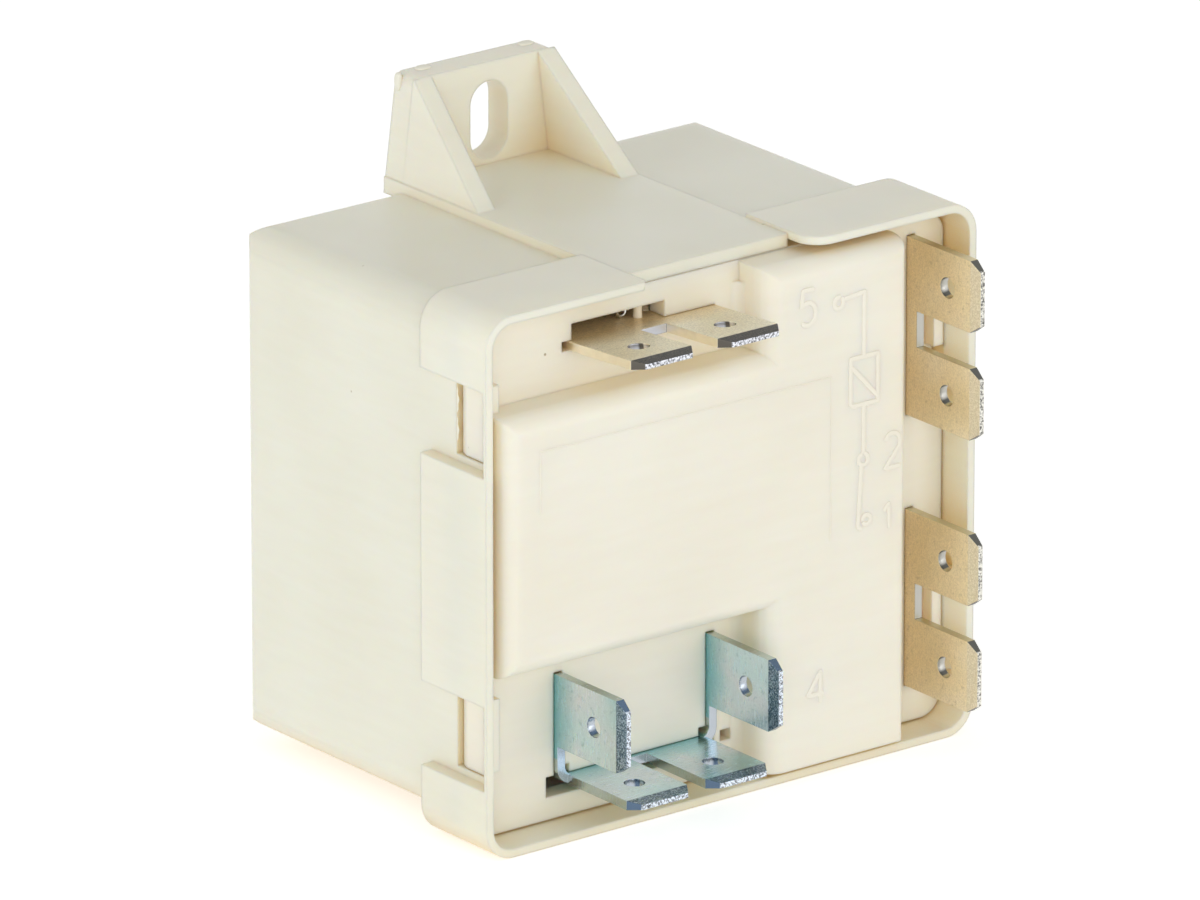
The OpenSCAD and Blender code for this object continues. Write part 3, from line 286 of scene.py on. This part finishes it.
def plated_sheet(name, axis, film, root, slope, cut, rough=(0.18, 0.30), dull=0.1, grit=0.06):
    """Plated sheet. Its film is metallic but for a share of dull, and grit sets how speckled it is. The
    rolled faces drift in tone, take the root tone where the tabs enter the base, and have fine rolling
    lines and dull spots. The coined slope takes a painted reflection, tones that stand in for what it
    reflects. cut holds the tones of the sheared sides, of the corner chamfers, which are a painted dark
    reflection, and of the torn tips, whose bright and dark speckle is painted glints."""
    t = Tree(name)
    at = t.coords()
    rolled = t.noise(t.coords((1, 6, 1)), 900, 4.0, 0.6)
    tone = t.ramp(t.noise(t.coords((1, 0.7, 1.1)), 110, 1.5), film)
    tone = t.mix(t.span(where(t, "Y"), 0.0, 1.0, ROOT_Y - ROOT_LEN, ROOT_Y), tone, root)
    tone = t.scaled(tone, t.span(rolled, 0.93, 1.04, 0.3, 0.7))
    fine = t.noise(at, 7000, 2.0, 0.6)
    tone = t.scaled(tone, t.span(fine, 1.0 - grit, 1.0 + 0.6 * grit, 0.3, 0.7))
    pits = t.span(t.noise(at, 1700, 4.0, 0.7), 0.0, 0.42, 0.58, 0.68)
    tone = t.mix(pits, tone, faded(film[0][1], 0.55))
    # Painted reflection: the coined slope's speckled tones stand in for what that polished slope reflects
    speckled = t.ramp(fine, [(0.42, slope[0]), (0.66, slope[1])])
    tone = t.mix(tip_slope(t), tone, speckled)
    side, painted_chamfer_reflection, tip = cut
    torn = t.noise(at, 4600, 3.0, 0.7)
    sheared = t.ramp(t.noise(at, 700, 3.0), [(0.35, faded(side, 0.92)), (0.65, side)])
    # Painted glints: bright specks in a dark tone on the torn tips
    painted_glints = t.ramp(torn, [(0.40, faded(tip, 0.14)), (0.49, faded(tip, 0.65)), (0.57, tip)])
    front = normal_size(t, "Y")
    # Painted dark reflection on the corner chamfers
    edge_tone = t.mix(t.span(front, 0.0, 1.0, 0.30, 0.45), sheared, painted_chamfer_reflection)
    edge_tone = t.mix(t.span(front, 0.0, 1.0, 0.70, 0.85), edge_tone, faded(tip, 0.6))
    at_tip = t.span(where(t, "Y"), 1.0, 0.0, TIP_Y + TIP_GLINT_END, TIP_Y + TIP_GLINT_GONE)
    edge_tone = t.mix(at_tip, edge_tone, painted_glints)
    faces = sheet_faces(t, axis)
    shader = t.shader()
    t.join(t.span(faces, 0.95, 1.0 - dull), shader.inputs["Metallic"])
    t.join(t.mix(faces, edge_tone, tone), shader.inputs["Base Color"])
    t.join(t.span(rolled, *rough, 0.3, 0.7), shader.inputs["Roughness"])
    edge = t.add("ShaderNodeBevel", samples=4)
    edge.inputs["Radius"].default_value = SHEET_ROUND
    under = t.bump(torn, UNEVEN, 0.5, edge.outputs["Normal"])
    t.join(under, shader.inputs["Normal"])
    t.join(t.span(at_tip, 0.10, 0.75), under.node.inputs["Strength"])
    return t.mat


def plain_metal(name, tone, low=0.28, high=0.46):
    """Turned or drawn metal inside the housing, with a roughness from low to high."""
    t = Tree(name)
    colour = t.ramp(t.noise(t.coords(), 420, 3.0), [(0.3, faded(tone, 0.8)), (0.7, tone)])
    shader = t.shader(Metallic=1.0)
    t.join(colour, shader.inputs["Base Color"])
    t.join(t.span(t.noise(t.coords((1, 1, 9)), 900, 3.0), low, high, 0.3, 0.7), shader.inputs["Roughness"])
    t.join(t.bump(t.noise(t.coords(), 2400, 2.0), GRAIN, 0.4), shader.inputs["Normal"])
    return t.mat


def wound_wire(name):
    """Layers of fine enamelled wire: a close ribbing up the coil, with painted shade that darkens the
    grooves between turns.
    """
    t = Tree(name)
    wave = t.add("ShaderNodeTexWave", wave_type="BANDS", bands_direction="Z")
    wave.inputs["Scale"].default_value = 1100
    wave.inputs["Distortion"].default_value = 0.6
    t.join(t.coords(), wave.inputs["Vector"])
    # Painted shade: the colour darkens in the grooves between turns
    colour = t.ramp(wave.outputs["Fac"], [(0.1, rgb(96, 38, 18)), (0.8, rgb(184, 92, 48))])
    shader = t.shader(Roughness=0.3, Coat_Weight=0.4, Coat_Roughness=0.2)
    t.join(colour, shader.inputs["Base Color"])
    t.join(t.bump(wave.outputs["Fac"], WIRE_RIBS, 0.8), shader.inputs["Normal"])
    return t.mat


def woven_sleeve(name, tone):
    """Glass sleeving: crossed fine threads."""
    t = Tree(name)
    weave = t.add("ShaderNodeTexChecker")
    weave.inputs["Scale"].default_value = 5200
    t.join(t.coords(), weave.inputs["Vector"])
    weave.inputs["Color1"].default_value = (*tone, 1)
    weave.inputs["Color2"].default_value = (*faded(tone, 0.7), 1)
    shader = t.shader(Roughness=0.8)
    t.join(weave.outputs["Color"], shader.inputs["Base Color"])
    t.join(t.bump(t.noise(t.coords(), 4000, 2.0), THREAD_DIPS, 0.6), shader.inputs["Normal"])
    return t.mat


# Tones of the plated films, as (position in the drift, tone)
TIN_UP = [(0.34, rgb(232, 222, 192)), (0.48, rgb(243, 236, 212)), (0.62, rgb(250, 246, 230))]
TIN_SIDE = [(0.34, rgb(232, 212, 170)), (0.48, rgb(242, 224, 186)), (0.62, rgb(246, 232, 202))]
ZINC = [(0.28, rgb(170, 214, 226)), (0.40, rgb(200, 230, 238)), (0.50, rgb(222, 228, 236)),
        (0.60, rgb(208, 230, 238)), (0.72, rgb(178, 218, 234))]
# Tones of their cut edges: sheared sides, corner chamfers as a painted dark reflection, torn tips as the
# brightest of their painted glints
TIN_UP_CUT = (rgb(252, 242, 220), rgb(96, 92, 86), rgb(236, 238, 246))
TIN_SIDE_CUT = (rgb(206, 194, 158), rgb(96, 96, 92), rgb(236, 234, 226))
ZINC_CUT = (rgb(190, 202, 198), rgb(92, 112, 136), rgb(230, 240, 253))
# Tones of the base and of the cover: pale, deep, and the amber painted shade for hollows
CREAM, CREAM_DEEP, CREAM_PAINTED_SHADE = rgb(247, 243, 231), rgb(242, 236, 221), rgb(244, 228, 194)
SHELL, SHELL_DEEP, SHELL_PAINTED_SHADE = rgb(244, 242, 229), rgb(237, 234, 218), rgb(238, 208, 148)

# The third tone of each moulded plastic is the painted shade for its hollows
materials = {
    "cover": moulded_plastic("cover_plastic", SHELL, SHELL_DEEP, SHELL_PAINTED_SHADE, scatter=0.42,
                             gloss=(0.27, 0.36)),
    "base": moulded_plastic("base_plastic", CREAM, CREAM_DEEP, CREAM_PAINTED_SHADE, scatter=0.42),
    "bobbin": moulded_plastic("bobbin_plastic", rgb(238, 236, 226), rgb(226, 222, 208),
                              rgb(230, 216, 180)),
    "pusher": moulded_plastic("pusher_plastic", rgb(234, 230, 216), rgb(222, 216, 198),
                              rgb(226, 210, 172)),
    "nubs": moulded_plastic("nub_plastic", SHELL, SHELL_DEEP, SHELL_PAINTED_SHADE, scatter=0.0, soft_edge=0.03),
    "signs": moulded_plastic("sign_plastic", CREAM, CREAM_DEEP, CREAM_PAINTED_SHADE, scatter=0.0, soft_edge=0.03),
    # After the root tone comes the pair of painted reflection tones for each coined slope
    "tin_up": plated_sheet("tinned_brass_up", "Z", TIN_UP, rgb(232, 208, 164),
                           (rgb(10, 9, 6), rgb(70, 64, 52)), TIN_UP_CUT,
                           rough=(0.28, 0.42), dull=0.75, grit=0.22),
    "tin_side": plated_sheet("tinned_brass_side", "X", TIN_SIDE, rgb(238, 216, 176),
                             (rgb(214, 200, 170), rgb(238, 226, 200)), TIN_SIDE_CUT,
                             rough=(0.30, 0.42), dull=0.5, grit=0.14),
    "zinc": plated_sheet("zinc_steel", "BOTH", ZINC, rgb(140, 196, 204),
                         (rgb(76, 98, 116), rgb(176, 194, 212)), ZINC_CUT),
    "steel": plain_metal("bare_steel", rgb(168, 170, 176)),
    "rivet": plain_metal("rivet_metal", rgb(204, 204, 200), 0.18, 0.32),
    "copper": plain_metal("copper", rgb(214, 140, 100), 0.2, 0.35),
    "spring": plain_metal("spring_steel", rgb(180, 180, 184), 0.2, 0.32),
    "bronze": plain_metal("spring_bronze", rgb(206, 168, 104), 0.18, 0.32),
    "silver": plain_metal("silver", rgb(224, 224, 220), 0.15, 0.3),
    "wire": wound_wire("enamelled_wire"),
    "tape": moulded_plastic("coil_tape", rgb(224, 206, 140), rgb(206, 184, 112), rgb(206, 184, 112),
                            scatter=0.0, grain=2.0),
    "sleeve": woven_sleeve("lead_sleeve", rgb(164, 152, 126)),
}

# Material of each node
FINISH = {
    "cover": "cover", "base": "base",
    "terminal_5": "tin_up", "terminal_2": "tin_side", "terminal_1": "tin_side", "terminal_4": "zinc",
    "terminal_5_rivet": "rivet", "yoke": "steel", "yoke_screws": "rivet", "core": "steel",
    "shading_ring": "copper", "bobbin": "bobbin", "winding": "wire", "winding_wrap": "tape",
    "coil_lead_5": "sleeve", "coil_lead_2": "sleeve",
    "armature": "steel", "pusher": "pusher", "return_spring": "spring",
    "contact_arm": "bronze", "arm_foot": "bronze", "arm_clamp": "rivet", "arm_rivets": "rivet",
    "moving_contact": "silver", "fixed_contact": "silver",
}

# Distance in metres within which points are one, angle in degrees below which faces lie flat together, and
# angle in degrees above which an edge is rounded
SAME_POINT, FLAT_ANGLE, SHARP_ANGLE = 2e-6, 0.6, 28
# Width in millimetres of the small round that these nodes' sharp edges have
EDGE = {"cover": 0.2, "base": 0.2, "terminal_5": 0.07, "terminal_2": 0.07, "terminal_1": 0.07,
        "terminal_4": 0.09, "yoke": 0.12, "armature": 0.12, "pusher": 0.15, "bobbin": 0.15}


def finish_node(name):
    """Gives a solid its material, and rounds its sharp edges a little with live modifiers."""
    obj = nodes[name]
    obj.data.materials.clear()
    obj.data.materials.append(materials[FINISH[name]])
    if name in EDGE:
        weld = obj.modifiers.new("weld", "WELD")
        weld.merge_threshold = SAME_POINT
        flat = obj.modifiers.new("flat", "DECIMATE")
        flat.decimate_type = "DISSOLVE"
        flat.angle_limit = math.radians(FLAT_ANGLE)
        edge = obj.modifiers.new("edge", "BEVEL")
        edge.width = EDGE[name] / 1000.0
        edge.segments = 3
        edge.limit_method = "ANGLE"
        edge.angle_limit = math.radians(SHARP_ANGLE)
        edge.harden_normals = True
        edge.use_clamp_overlap = True


for node_name in FINISH:
    finish_node(node_name)


# Surfaces worked out on grids
def solid_from_rings(name, rings):
    """Mesh of closed tubes: ring j of n points is joined to ring j + 1 by quads, and each end is closed by
    a fan to the mean of its last ring. rings is a list of arrays (rings, points, 3) in metres."""
    verts, faces, first = [], [], 0
    for skin in rings:
        count, around, _ = skin.shape
        verts.append(skin.reshape(-1, 3))
        verts.append(np.stack([skin[0].mean(0), skin[-1].mean(0)]))
        j, k = np.meshgrid(np.arange(count - 1), np.arange(around), indexing="ij")
        here, beside = j * around + k, j * around + (k + 1) % around
        quads = np.stack([here, beside, beside + around, here + around], -1).reshape(-1, 4) + first
        k = np.arange(around)
        start, end = first + count * around, first + count * around + 1
        low = np.stack([np.full(around, start), first + (k + 1) % around, first + k], -1)
        last = first + (count - 1) * around
        high = np.stack([np.full(around, end), last + k, last + (k + 1) % around], -1)
        faces += quads.tolist() + low.tolist() + high.tolist()
        first += count * around + 2
    mesh = bpy.data.meshes.new(name)
    mesh.from_pydata(np.concatenate(verts).tolist(), [], faces)
    mesh.validate()
    bm = bmesh.new()
    bm.from_mesh(mesh)
    bmesh.ops.recalc_face_normals(bm, faces=bm.faces)
    bm.to_mesh(mesh)
    bm.free()
    mesh.shade_smooth()
    obj = bpy.data.objects.new(name, mesh)
    bpy.context.collection.objects.link(obj)
    return obj


def fit(obj, body, finish):
    """Gives a new piece its material and the body that it rides on."""
    obj.data.materials.append(materials[finish])
    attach(obj, body)
    return obj


def along(path, step):
    """Points every step along a polyline, by its length."""
    path = np.asarray(path, float)
    run = np.concatenate([[0], np.cumsum(np.linalg.norm(np.diff(path, axis=0), axis=1))])
    count = max(int(round(run[-1] / step)), 2)
    at = np.unique(np.concatenate([np.linspace(0, run[-1], count + 1), run]))
    at = at[np.concatenate([[True], np.diff(at) > step * 0.2])]
    return np.stack([np.interp(at, run, path[:, i]) for i in range(path.shape[1])], -1), at, run[-1]


def arc(cx, cz, rx, rz, start, end, count=14):
    """Part of an ellipse: (cx + rx cos a, cz + rz sin a) for a from start to end in degrees."""
    a = np.radians(np.linspace(start, end, count))
    return np.stack([cx + rx * np.cos(a), cz + rz * np.sin(a)], -1)


# Distance in millimetres between the rings of a raised line
RIDGE_STEP = 0.12


def ridge(path, width, height, face_y, sink=0.06, around=12):
    """Raised line on the plane y = face_y along a path of (x, z) in millimetres.
    Across it, at angle a: r * sgn(cos a) * |cos a|^0.7 sideways, with r = width / 2, and height * |sin a|^0.7
    outwards, or sink in its place below the face. At a distance s from an end, less than r, both shrink by
    sqrt(1 - (1 - s / r)^2)."""
    full, run, length = along(path, RIDGE_STEP)
    r = width / 2
    ends = r * (1 - np.cos(np.linspace(0, np.pi / 2, 5)))
    s = np.unique(np.concatenate([ends, length - ends, run[(run > r) & (run < length - r)]]))
    points = np.stack([np.interp(s, run, full[:, i]) for i in (0, 1)], -1)
    tangent = np.gradient(points, s, axis=0)
    tangent /= np.linalg.norm(tangent, axis=1, keepdims=True) + 1e-12
    side = np.stack([-tangent[:, 1], tangent[:, 0]], -1)
    near = np.minimum(s, length - s)
    shrink = np.sqrt(np.clip(1 - (1 - np.clip(near / r, 0, 1)) ** 2, 0.0004, 1))
    a = np.linspace(0, 2 * np.pi, around, endpoint=False)
    across = r * np.sign(np.cos(a)) * np.abs(np.cos(a)) ** 0.7
    out = np.where(np.sin(a) > 0, height, sink) * np.sign(np.sin(a)) * np.abs(np.sin(a)) ** 0.7
    xz = points[:, None, :] + side[:, None, :] * across[None, :, None] * shrink[:, None, None]
    y = face_y - out[None, :] * shrink[:, None]
    return mm(np.stack([xz[..., 0], y, xz[..., 1]], -1))


def tube(path, radius, around=10):
    """Round wire along a smooth path of points in millimetres: a circle of the radius in the plane
    of two directions that are carried along the path without twisting."""
    path = np.asarray(path, float)
    radius = np.broadcast_to(radius, len(path))
    t = np.gradient(path, axis=0)
    t /= np.linalg.norm(t, axis=1, keepdims=True)
    side = np.empty_like(t)
    start = np.cross(t[0], (0.3, 0.2, 0.9))
    for i in range(len(t)):
        start = start - t[i] * (start @ t[i])
        start = start / np.linalg.norm(start)
        side[i] = start
    up = np.cross(t, side)
    a = np.linspace(0, 2 * np.pi, around, endpoint=False)
    ring = side[:, None, :] * np.cos(a)[None, :, None] + up[:, None, :] * np.sin(a)[None, :, None]
    return mm(path[:, None, :] + ring * radius[:, None, None])


def pebble(centre, radii, power=0.8, rows=12, around=20):
    """Closed rounded lump: radii times (c(v) c(u), c(v) s(u), s(v)) round the centre, where c and s are
    cosine and sine raised to the power with their sign kept; v runs from pole to pole and u round."""
    v = np.linspace(-np.pi / 2, np.pi / 2, rows + 2)[1:-1]
    u = np.linspace(0, 2 * np.pi, around, endpoint=False)
    def raised(x):
        return np.sign(x) * np.abs(x) ** power
    cv, sv, cu, su = raised(np.cos(v)), raised(np.sin(v)), raised(np.cos(u)), raised(np.sin(u))
    shape = np.stack([cv[:, None] * cu, cv[:, None] * su, np.repeat(sv[:, None], around, 1)], -1)
    return mm(np.asarray(centre, float) + shape * np.asarray(radii, float))


# Raised signs on the boss: plain terminal numbers and the circuit between them, in lines of this width and
# height in millimetres
SIGN_WIDTH, SIGN_HEIGHT = 0.42, 0.06


def numeral(digit, x0, z0, x1, z1):
    """Strokes of one digit, drawn in a unit square and stretched to the box x0, z0 to x1, z1."""
    strokes = {
        "1": [np.array([(0.05, 0.74), (0.62, 1.0), (0.62, 0.0)])],
        "2": [np.concatenate([arc(0.5, 0.72, 0.46, 0.28, 165, -38),
                              [(0.04, 0.0), (1.0, 0.0)]])],
        "4": [np.array([(0.76, 0.0), (0.76, 1.0), (0.0, 0.30), (1.0, 0.30)])],
        "5": [np.concatenate([[(0.92, 1.0), (0.20, 1.0), (0.12, 0.54)],
                              arc(0.48, 0.32, 0.50, 0.32, 128, -140)])],
    }[digit]
    inset = SIGN_WIDTH / 2
    low, high = np.array([x0 + inset, z0 + inset]), np.array([x1 - inset, z1 - inset])
    return [low + stroke * (high - low) for stroke in strokes]


def make_signs():
    """Numbers 5, 2, 1 and 4 beside their tabs, and the coil and contact signs joined by lines.
    Places are measured from the left edge of the cover."""
    paths = []
    for digit, box in (("5", (32.2, 40.05, 34.35, 43.57)), ("2", (41.3, 25.65, 43.5, 29.1)),
                       ("1", (41.2, 20.3, 42.7, 22.9)), ("4", (33.2, 6.35, 35.4, 9.6))):
        paths += numeral(digit, *box)
    rail = 39.27
    paths += [
        # Ring of terminal 5 and the line from it down to the coil
        arc(36.55, 41.55, 0.5, 0.5, 60, 415, 24),
        np.array([(37.1, 41.75), (rail + 0.1, 42.0), (rail, 41.4), (rail, 36.3)]),
        # Coil: a box with a slanting stroke
        np.array([(37.87, 32.1), (37.87, 36.3), (40.78, 36.3), (40.78, 32.1), (37.87, 32.1)]),
        np.array([(37.95, 35.6), (40.7, 32.6)]),
        # Line from the coil to the ring of terminal 2
        np.array([(rail, 32.1), (rail, 27.7)]),
        arc(rail, 27.2, 0.5, 0.5, 90, 445, 24),
        # Contact that rests on the ring of terminal 1
        np.concatenate([[(39.07, 26.7), (38.75, 21.6)], arc(39.05, 21.45, 0.32, 0.32, 180, 300, 6)]),
        arc(39.64, 21.8, 0.42, 0.42, 200, 555, 20),
    ]
    left = np.array([-COVER_W / 2, 0.0])
    rings = [ridge(np.asarray(path) + left, SIGN_WIDTH, SIGN_HEIGHT, BOSS_Y) for path in paths]
    fit(solid_from_rings("moulded_signs", rings), "housing", "signs")


def make_label_line():
    """Witness line of the mould insert on the boss block: a fine ridge round three sides of a rectangle."""
    x0, x1, z0, z1 = -20.7, 9.9, 20.6, 35.2
    path = np.array([(x0, z1 - 5.5), (x0, z1), (x1, z1), (x1, z0)])
    line = ridge(path, width=0.12, height=0.02, face_y=BOSS_Y, sink=0.03, around=8)
    fit(solid_from_rings("insert_line", [line]), "housing", "signs")


def make_nubs():
    """What the ejector pins and the gate left on the ear: two flat nubs on top, a bead on the left edge."""
    lumps = [pebble((-5.35, 35.35, 56.08), (0.75, 0.5, 0.24)),
             pebble((5.55, 35.35, 56.08), (0.75, 0.5, 0.22)),
             pebble((-7.78, 35.5, 55.35), (0.30, 0.42, 0.80))]
    fit(solid_from_rings("ear_nubs", lumps), "housing", "nubs")


def make_flash():
    """Thin torn flash on the rear edge of the upper left latch window: a strip up the edge whose width
    is 0.16 + 0.10 sin(2.3 z) + 0.06 sin(7.1 z + 1), no less than 0.03, in millimetres."""
    z = np.linspace(35.2, 40.3, 60)
    ends = np.clip(np.minimum(z - z[0], z[-1] - z) / 0.5, 0.05, 1)
    width = np.maximum(0.16 + 0.10 * np.sin(2.3 * z) + 0.06 * np.sin(7.1 * z + 1), 0.03) * ends
    a = np.linspace(0, 2 * np.pi, 8, endpoint=False)
    edge_y, x = 5.47, -COVER_W / 2 + 1.26
    y = edge_y - width[:, None] * np.cos(a)[None, :]
    rings = mm(np.stack([x + 0.07 * ends[:, None] * np.sin(a)[None, :], y, np.repeat(z[:, None], 8, 1)], -1))
    fit(solid_from_rings("window_flash", [rings]), "housing", "nubs")


def make_window_parts():
    """Seen in the window over terminal 5: the bared end of the coil lead, curled once, and a pale post."""
    a = np.linspace(0, 2 * np.pi * 1.2, 40)
    curl = np.stack([-7.7 + 0.50 * np.cos(a), 5.05 + 0.06 * a, 43.15 + 0.46 * np.sin(a)], -1)
    fit(solid_from_rings("lead_end", [tube(curl, 0.17)]), "housing", "rivet")
    z = np.linspace(42.45, 43.97, 8)
    post = np.stack([np.full(8, -6.45), np.full(8, 4.7), z], -1)
    fit(solid_from_rings("window_post", [tube(post, 0.36 + 0.05 * np.abs(np.linspace(-1, 1, 8)), 16)]),
        "housing", "signs")


def make_spring():
    """Return spring: a helix of 11 turns between its two hooks, stretched between yoke and armature.
    Turn angle a goes with height: (r cos a, r sin a, low + (high - low) a / (22 pi))."""
    x, y, low, high, r, turns = 10.3, 12.55, 20.9, 34.56, 1.4, 11
    a = np.linspace(0, 2 * np.pi * turns, turns * 28 + 1)
    coil = np.stack([r * np.cos(a), r * np.sin(a), low + (high - low) * a / a[-1]], -1)
    foot = np.array([(0, 0, low - 2.5), (0, 0, low - 1.4), (0.1, 0, low - 0.7), (0.7, 0, low - 0.25)])
    head = np.array([(0.7, 0, high + 0.25), (0.1, 0, high + 0.7), (0, 0, high + 1.4), (0, 0, high + 2.5)])
    path = np.concatenate([foot, coil, head]) + (x, y, 0)
    spring = solid_from_rings("spring_coil", [tube(path, 0.2, 8)])
    spring.data.materials.append(materials["spring"])
    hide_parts("return_spring")
    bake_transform(spring)


make_signs()
make_label_line()
make_nubs()
make_flash()
make_window_parts()
make_spring()


# Stage
# Strength and tint of the light from all round. What is seen directly, in a gloss or through a body is white.
WORLD_LIGHT, WORLD_TINT = 0.55, (1.0, 0.99, 0.94, 1)
# Floor: its tone, and the strength of its glow on the object and to the camera
FLOOR_TONE, FLOOR_GLOW = 0.86, (0.20, 0.52)
# Point that the lamps aim at, and their slightly cool colour
MIDDLE, COOL = (0, 0, 0.03), (0.97, 0.985, 1.0)


def set_floor():
    """Pale floor, white to the camera, that keeps the object's shadow."""
    bpy.ops.mesh.primitive_plane_add(size=8.0, location=(0, 0, -0.00005))
    floor = bpy.context.active_object
    floor.name = "floor"
    t = Tree("floor")
    path = t.add("ShaderNodeLightPath")
    seen = t.add("ShaderNodeMath", operation="MAXIMUM")
    t.join(path.outputs["Is Camera Ray"], seen.inputs[0])
    t.join(path.outputs["Is Glossy Ray"], seen.inputs[1])
    matt = t.add("ShaderNodeBsdfDiffuse")
    matt.inputs["Color"].default_value = (FLOOR_TONE, FLOOR_TONE, FLOOR_TONE, 1)
    glow = t.add("ShaderNodeEmission")
    glow.inputs["Color"].default_value = (1, 1, 1, 1)
    t.join(t.span(seen.outputs[0], *FLOOR_GLOW), glow.inputs["Strength"])
    both = t.add("ShaderNodeAddShader")
    t.join(matt.outputs[0], both.inputs[0])
    t.join(glow.outputs[0], both.inputs[1])
    t.join(both.outputs[0], t.out.inputs["Surface"])
    floor.data.materials.append(t.mat)


def set_world():
    """Light from all round."""
    world = bpy.data.worlds.new("studio")
    bpy.context.scene.world = world
    world.use_nodes = True
    tree = world.node_tree
    tree.nodes.clear()
    out = tree.nodes.new("ShaderNodeOutputWorld")
    back = tree.nodes.new("ShaderNodeBackground")
    path = tree.nodes.new("ShaderNodeLightPath")
    through = tree.nodes.new("ShaderNodeMath")
    plain = tree.nodes.new("ShaderNodeMath")
    through.operation = plain.operation = "MAXIMUM"
    strength = tree.nodes.new("ShaderNodeMapRange")
    strength.inputs["To Min"].default_value = WORLD_LIGHT
    strength.inputs["To Max"].default_value = 1.0
    tint = tree.nodes.new("ShaderNodeMix")
    tint.data_type = "RGBA"
    tint.inputs["A"].default_value = WORLD_TINT
    tint.inputs["B"].default_value = (1, 1, 1, 1)
    join = tree.links.new
    join(path.outputs["Is Camera Ray"], through.inputs[0])
    join(path.outputs["Is Transmission Ray"], through.inputs[1])
    join(path.outputs["Is Glossy Ray"], plain.inputs[0])
    join(through.outputs[0], plain.inputs[1])
    join(plain.outputs[0], tint.inputs["Factor"])
    join(tint.outputs["Result"], back.inputs["Color"])
    join(plain.outputs[0], strength.inputs["Value"])
    join(strength.outputs["Result"], back.inputs["Strength"])
    join(back.outputs[0], out.inputs["Surface"])


def set_lamps():
    """Soft lamps in front, at the left and near the camera."""
    def lamp(name, place, power, size, colour):
        data = bpy.data.lights.new(name, "AREA")
        data.color = colour
        data.shape = "RECTANGLE"
        data.size, data.size_y = size
        data.energy = power
        obj = bpy.data.objects.new(name, data)
        bpy.context.collection.objects.link(obj)
        obj.location = place
        obj.rotation_euler = (Vector(MIDDLE) - Vector(place)).to_track_quat("-Z", "Y").to_euler()

    lamp("front_lamp", (0.30, -0.88, 0.22), 1.68, (0.7, 0.5), COOL)
    lamp("left_lamp", (-0.9, 0.0, 0.22), 1.98, (0.7, 0.6), (0.96, 0.985, 1.0))
    lamp("fill_lamp", (-0.55, -0.75, 0.25), 1.56, (0.5, 0.5), COOL)


set_camera()
set_floor()
set_world()
set_lamps()
bpy.context.scene.view_settings.view_transform = "Standard"
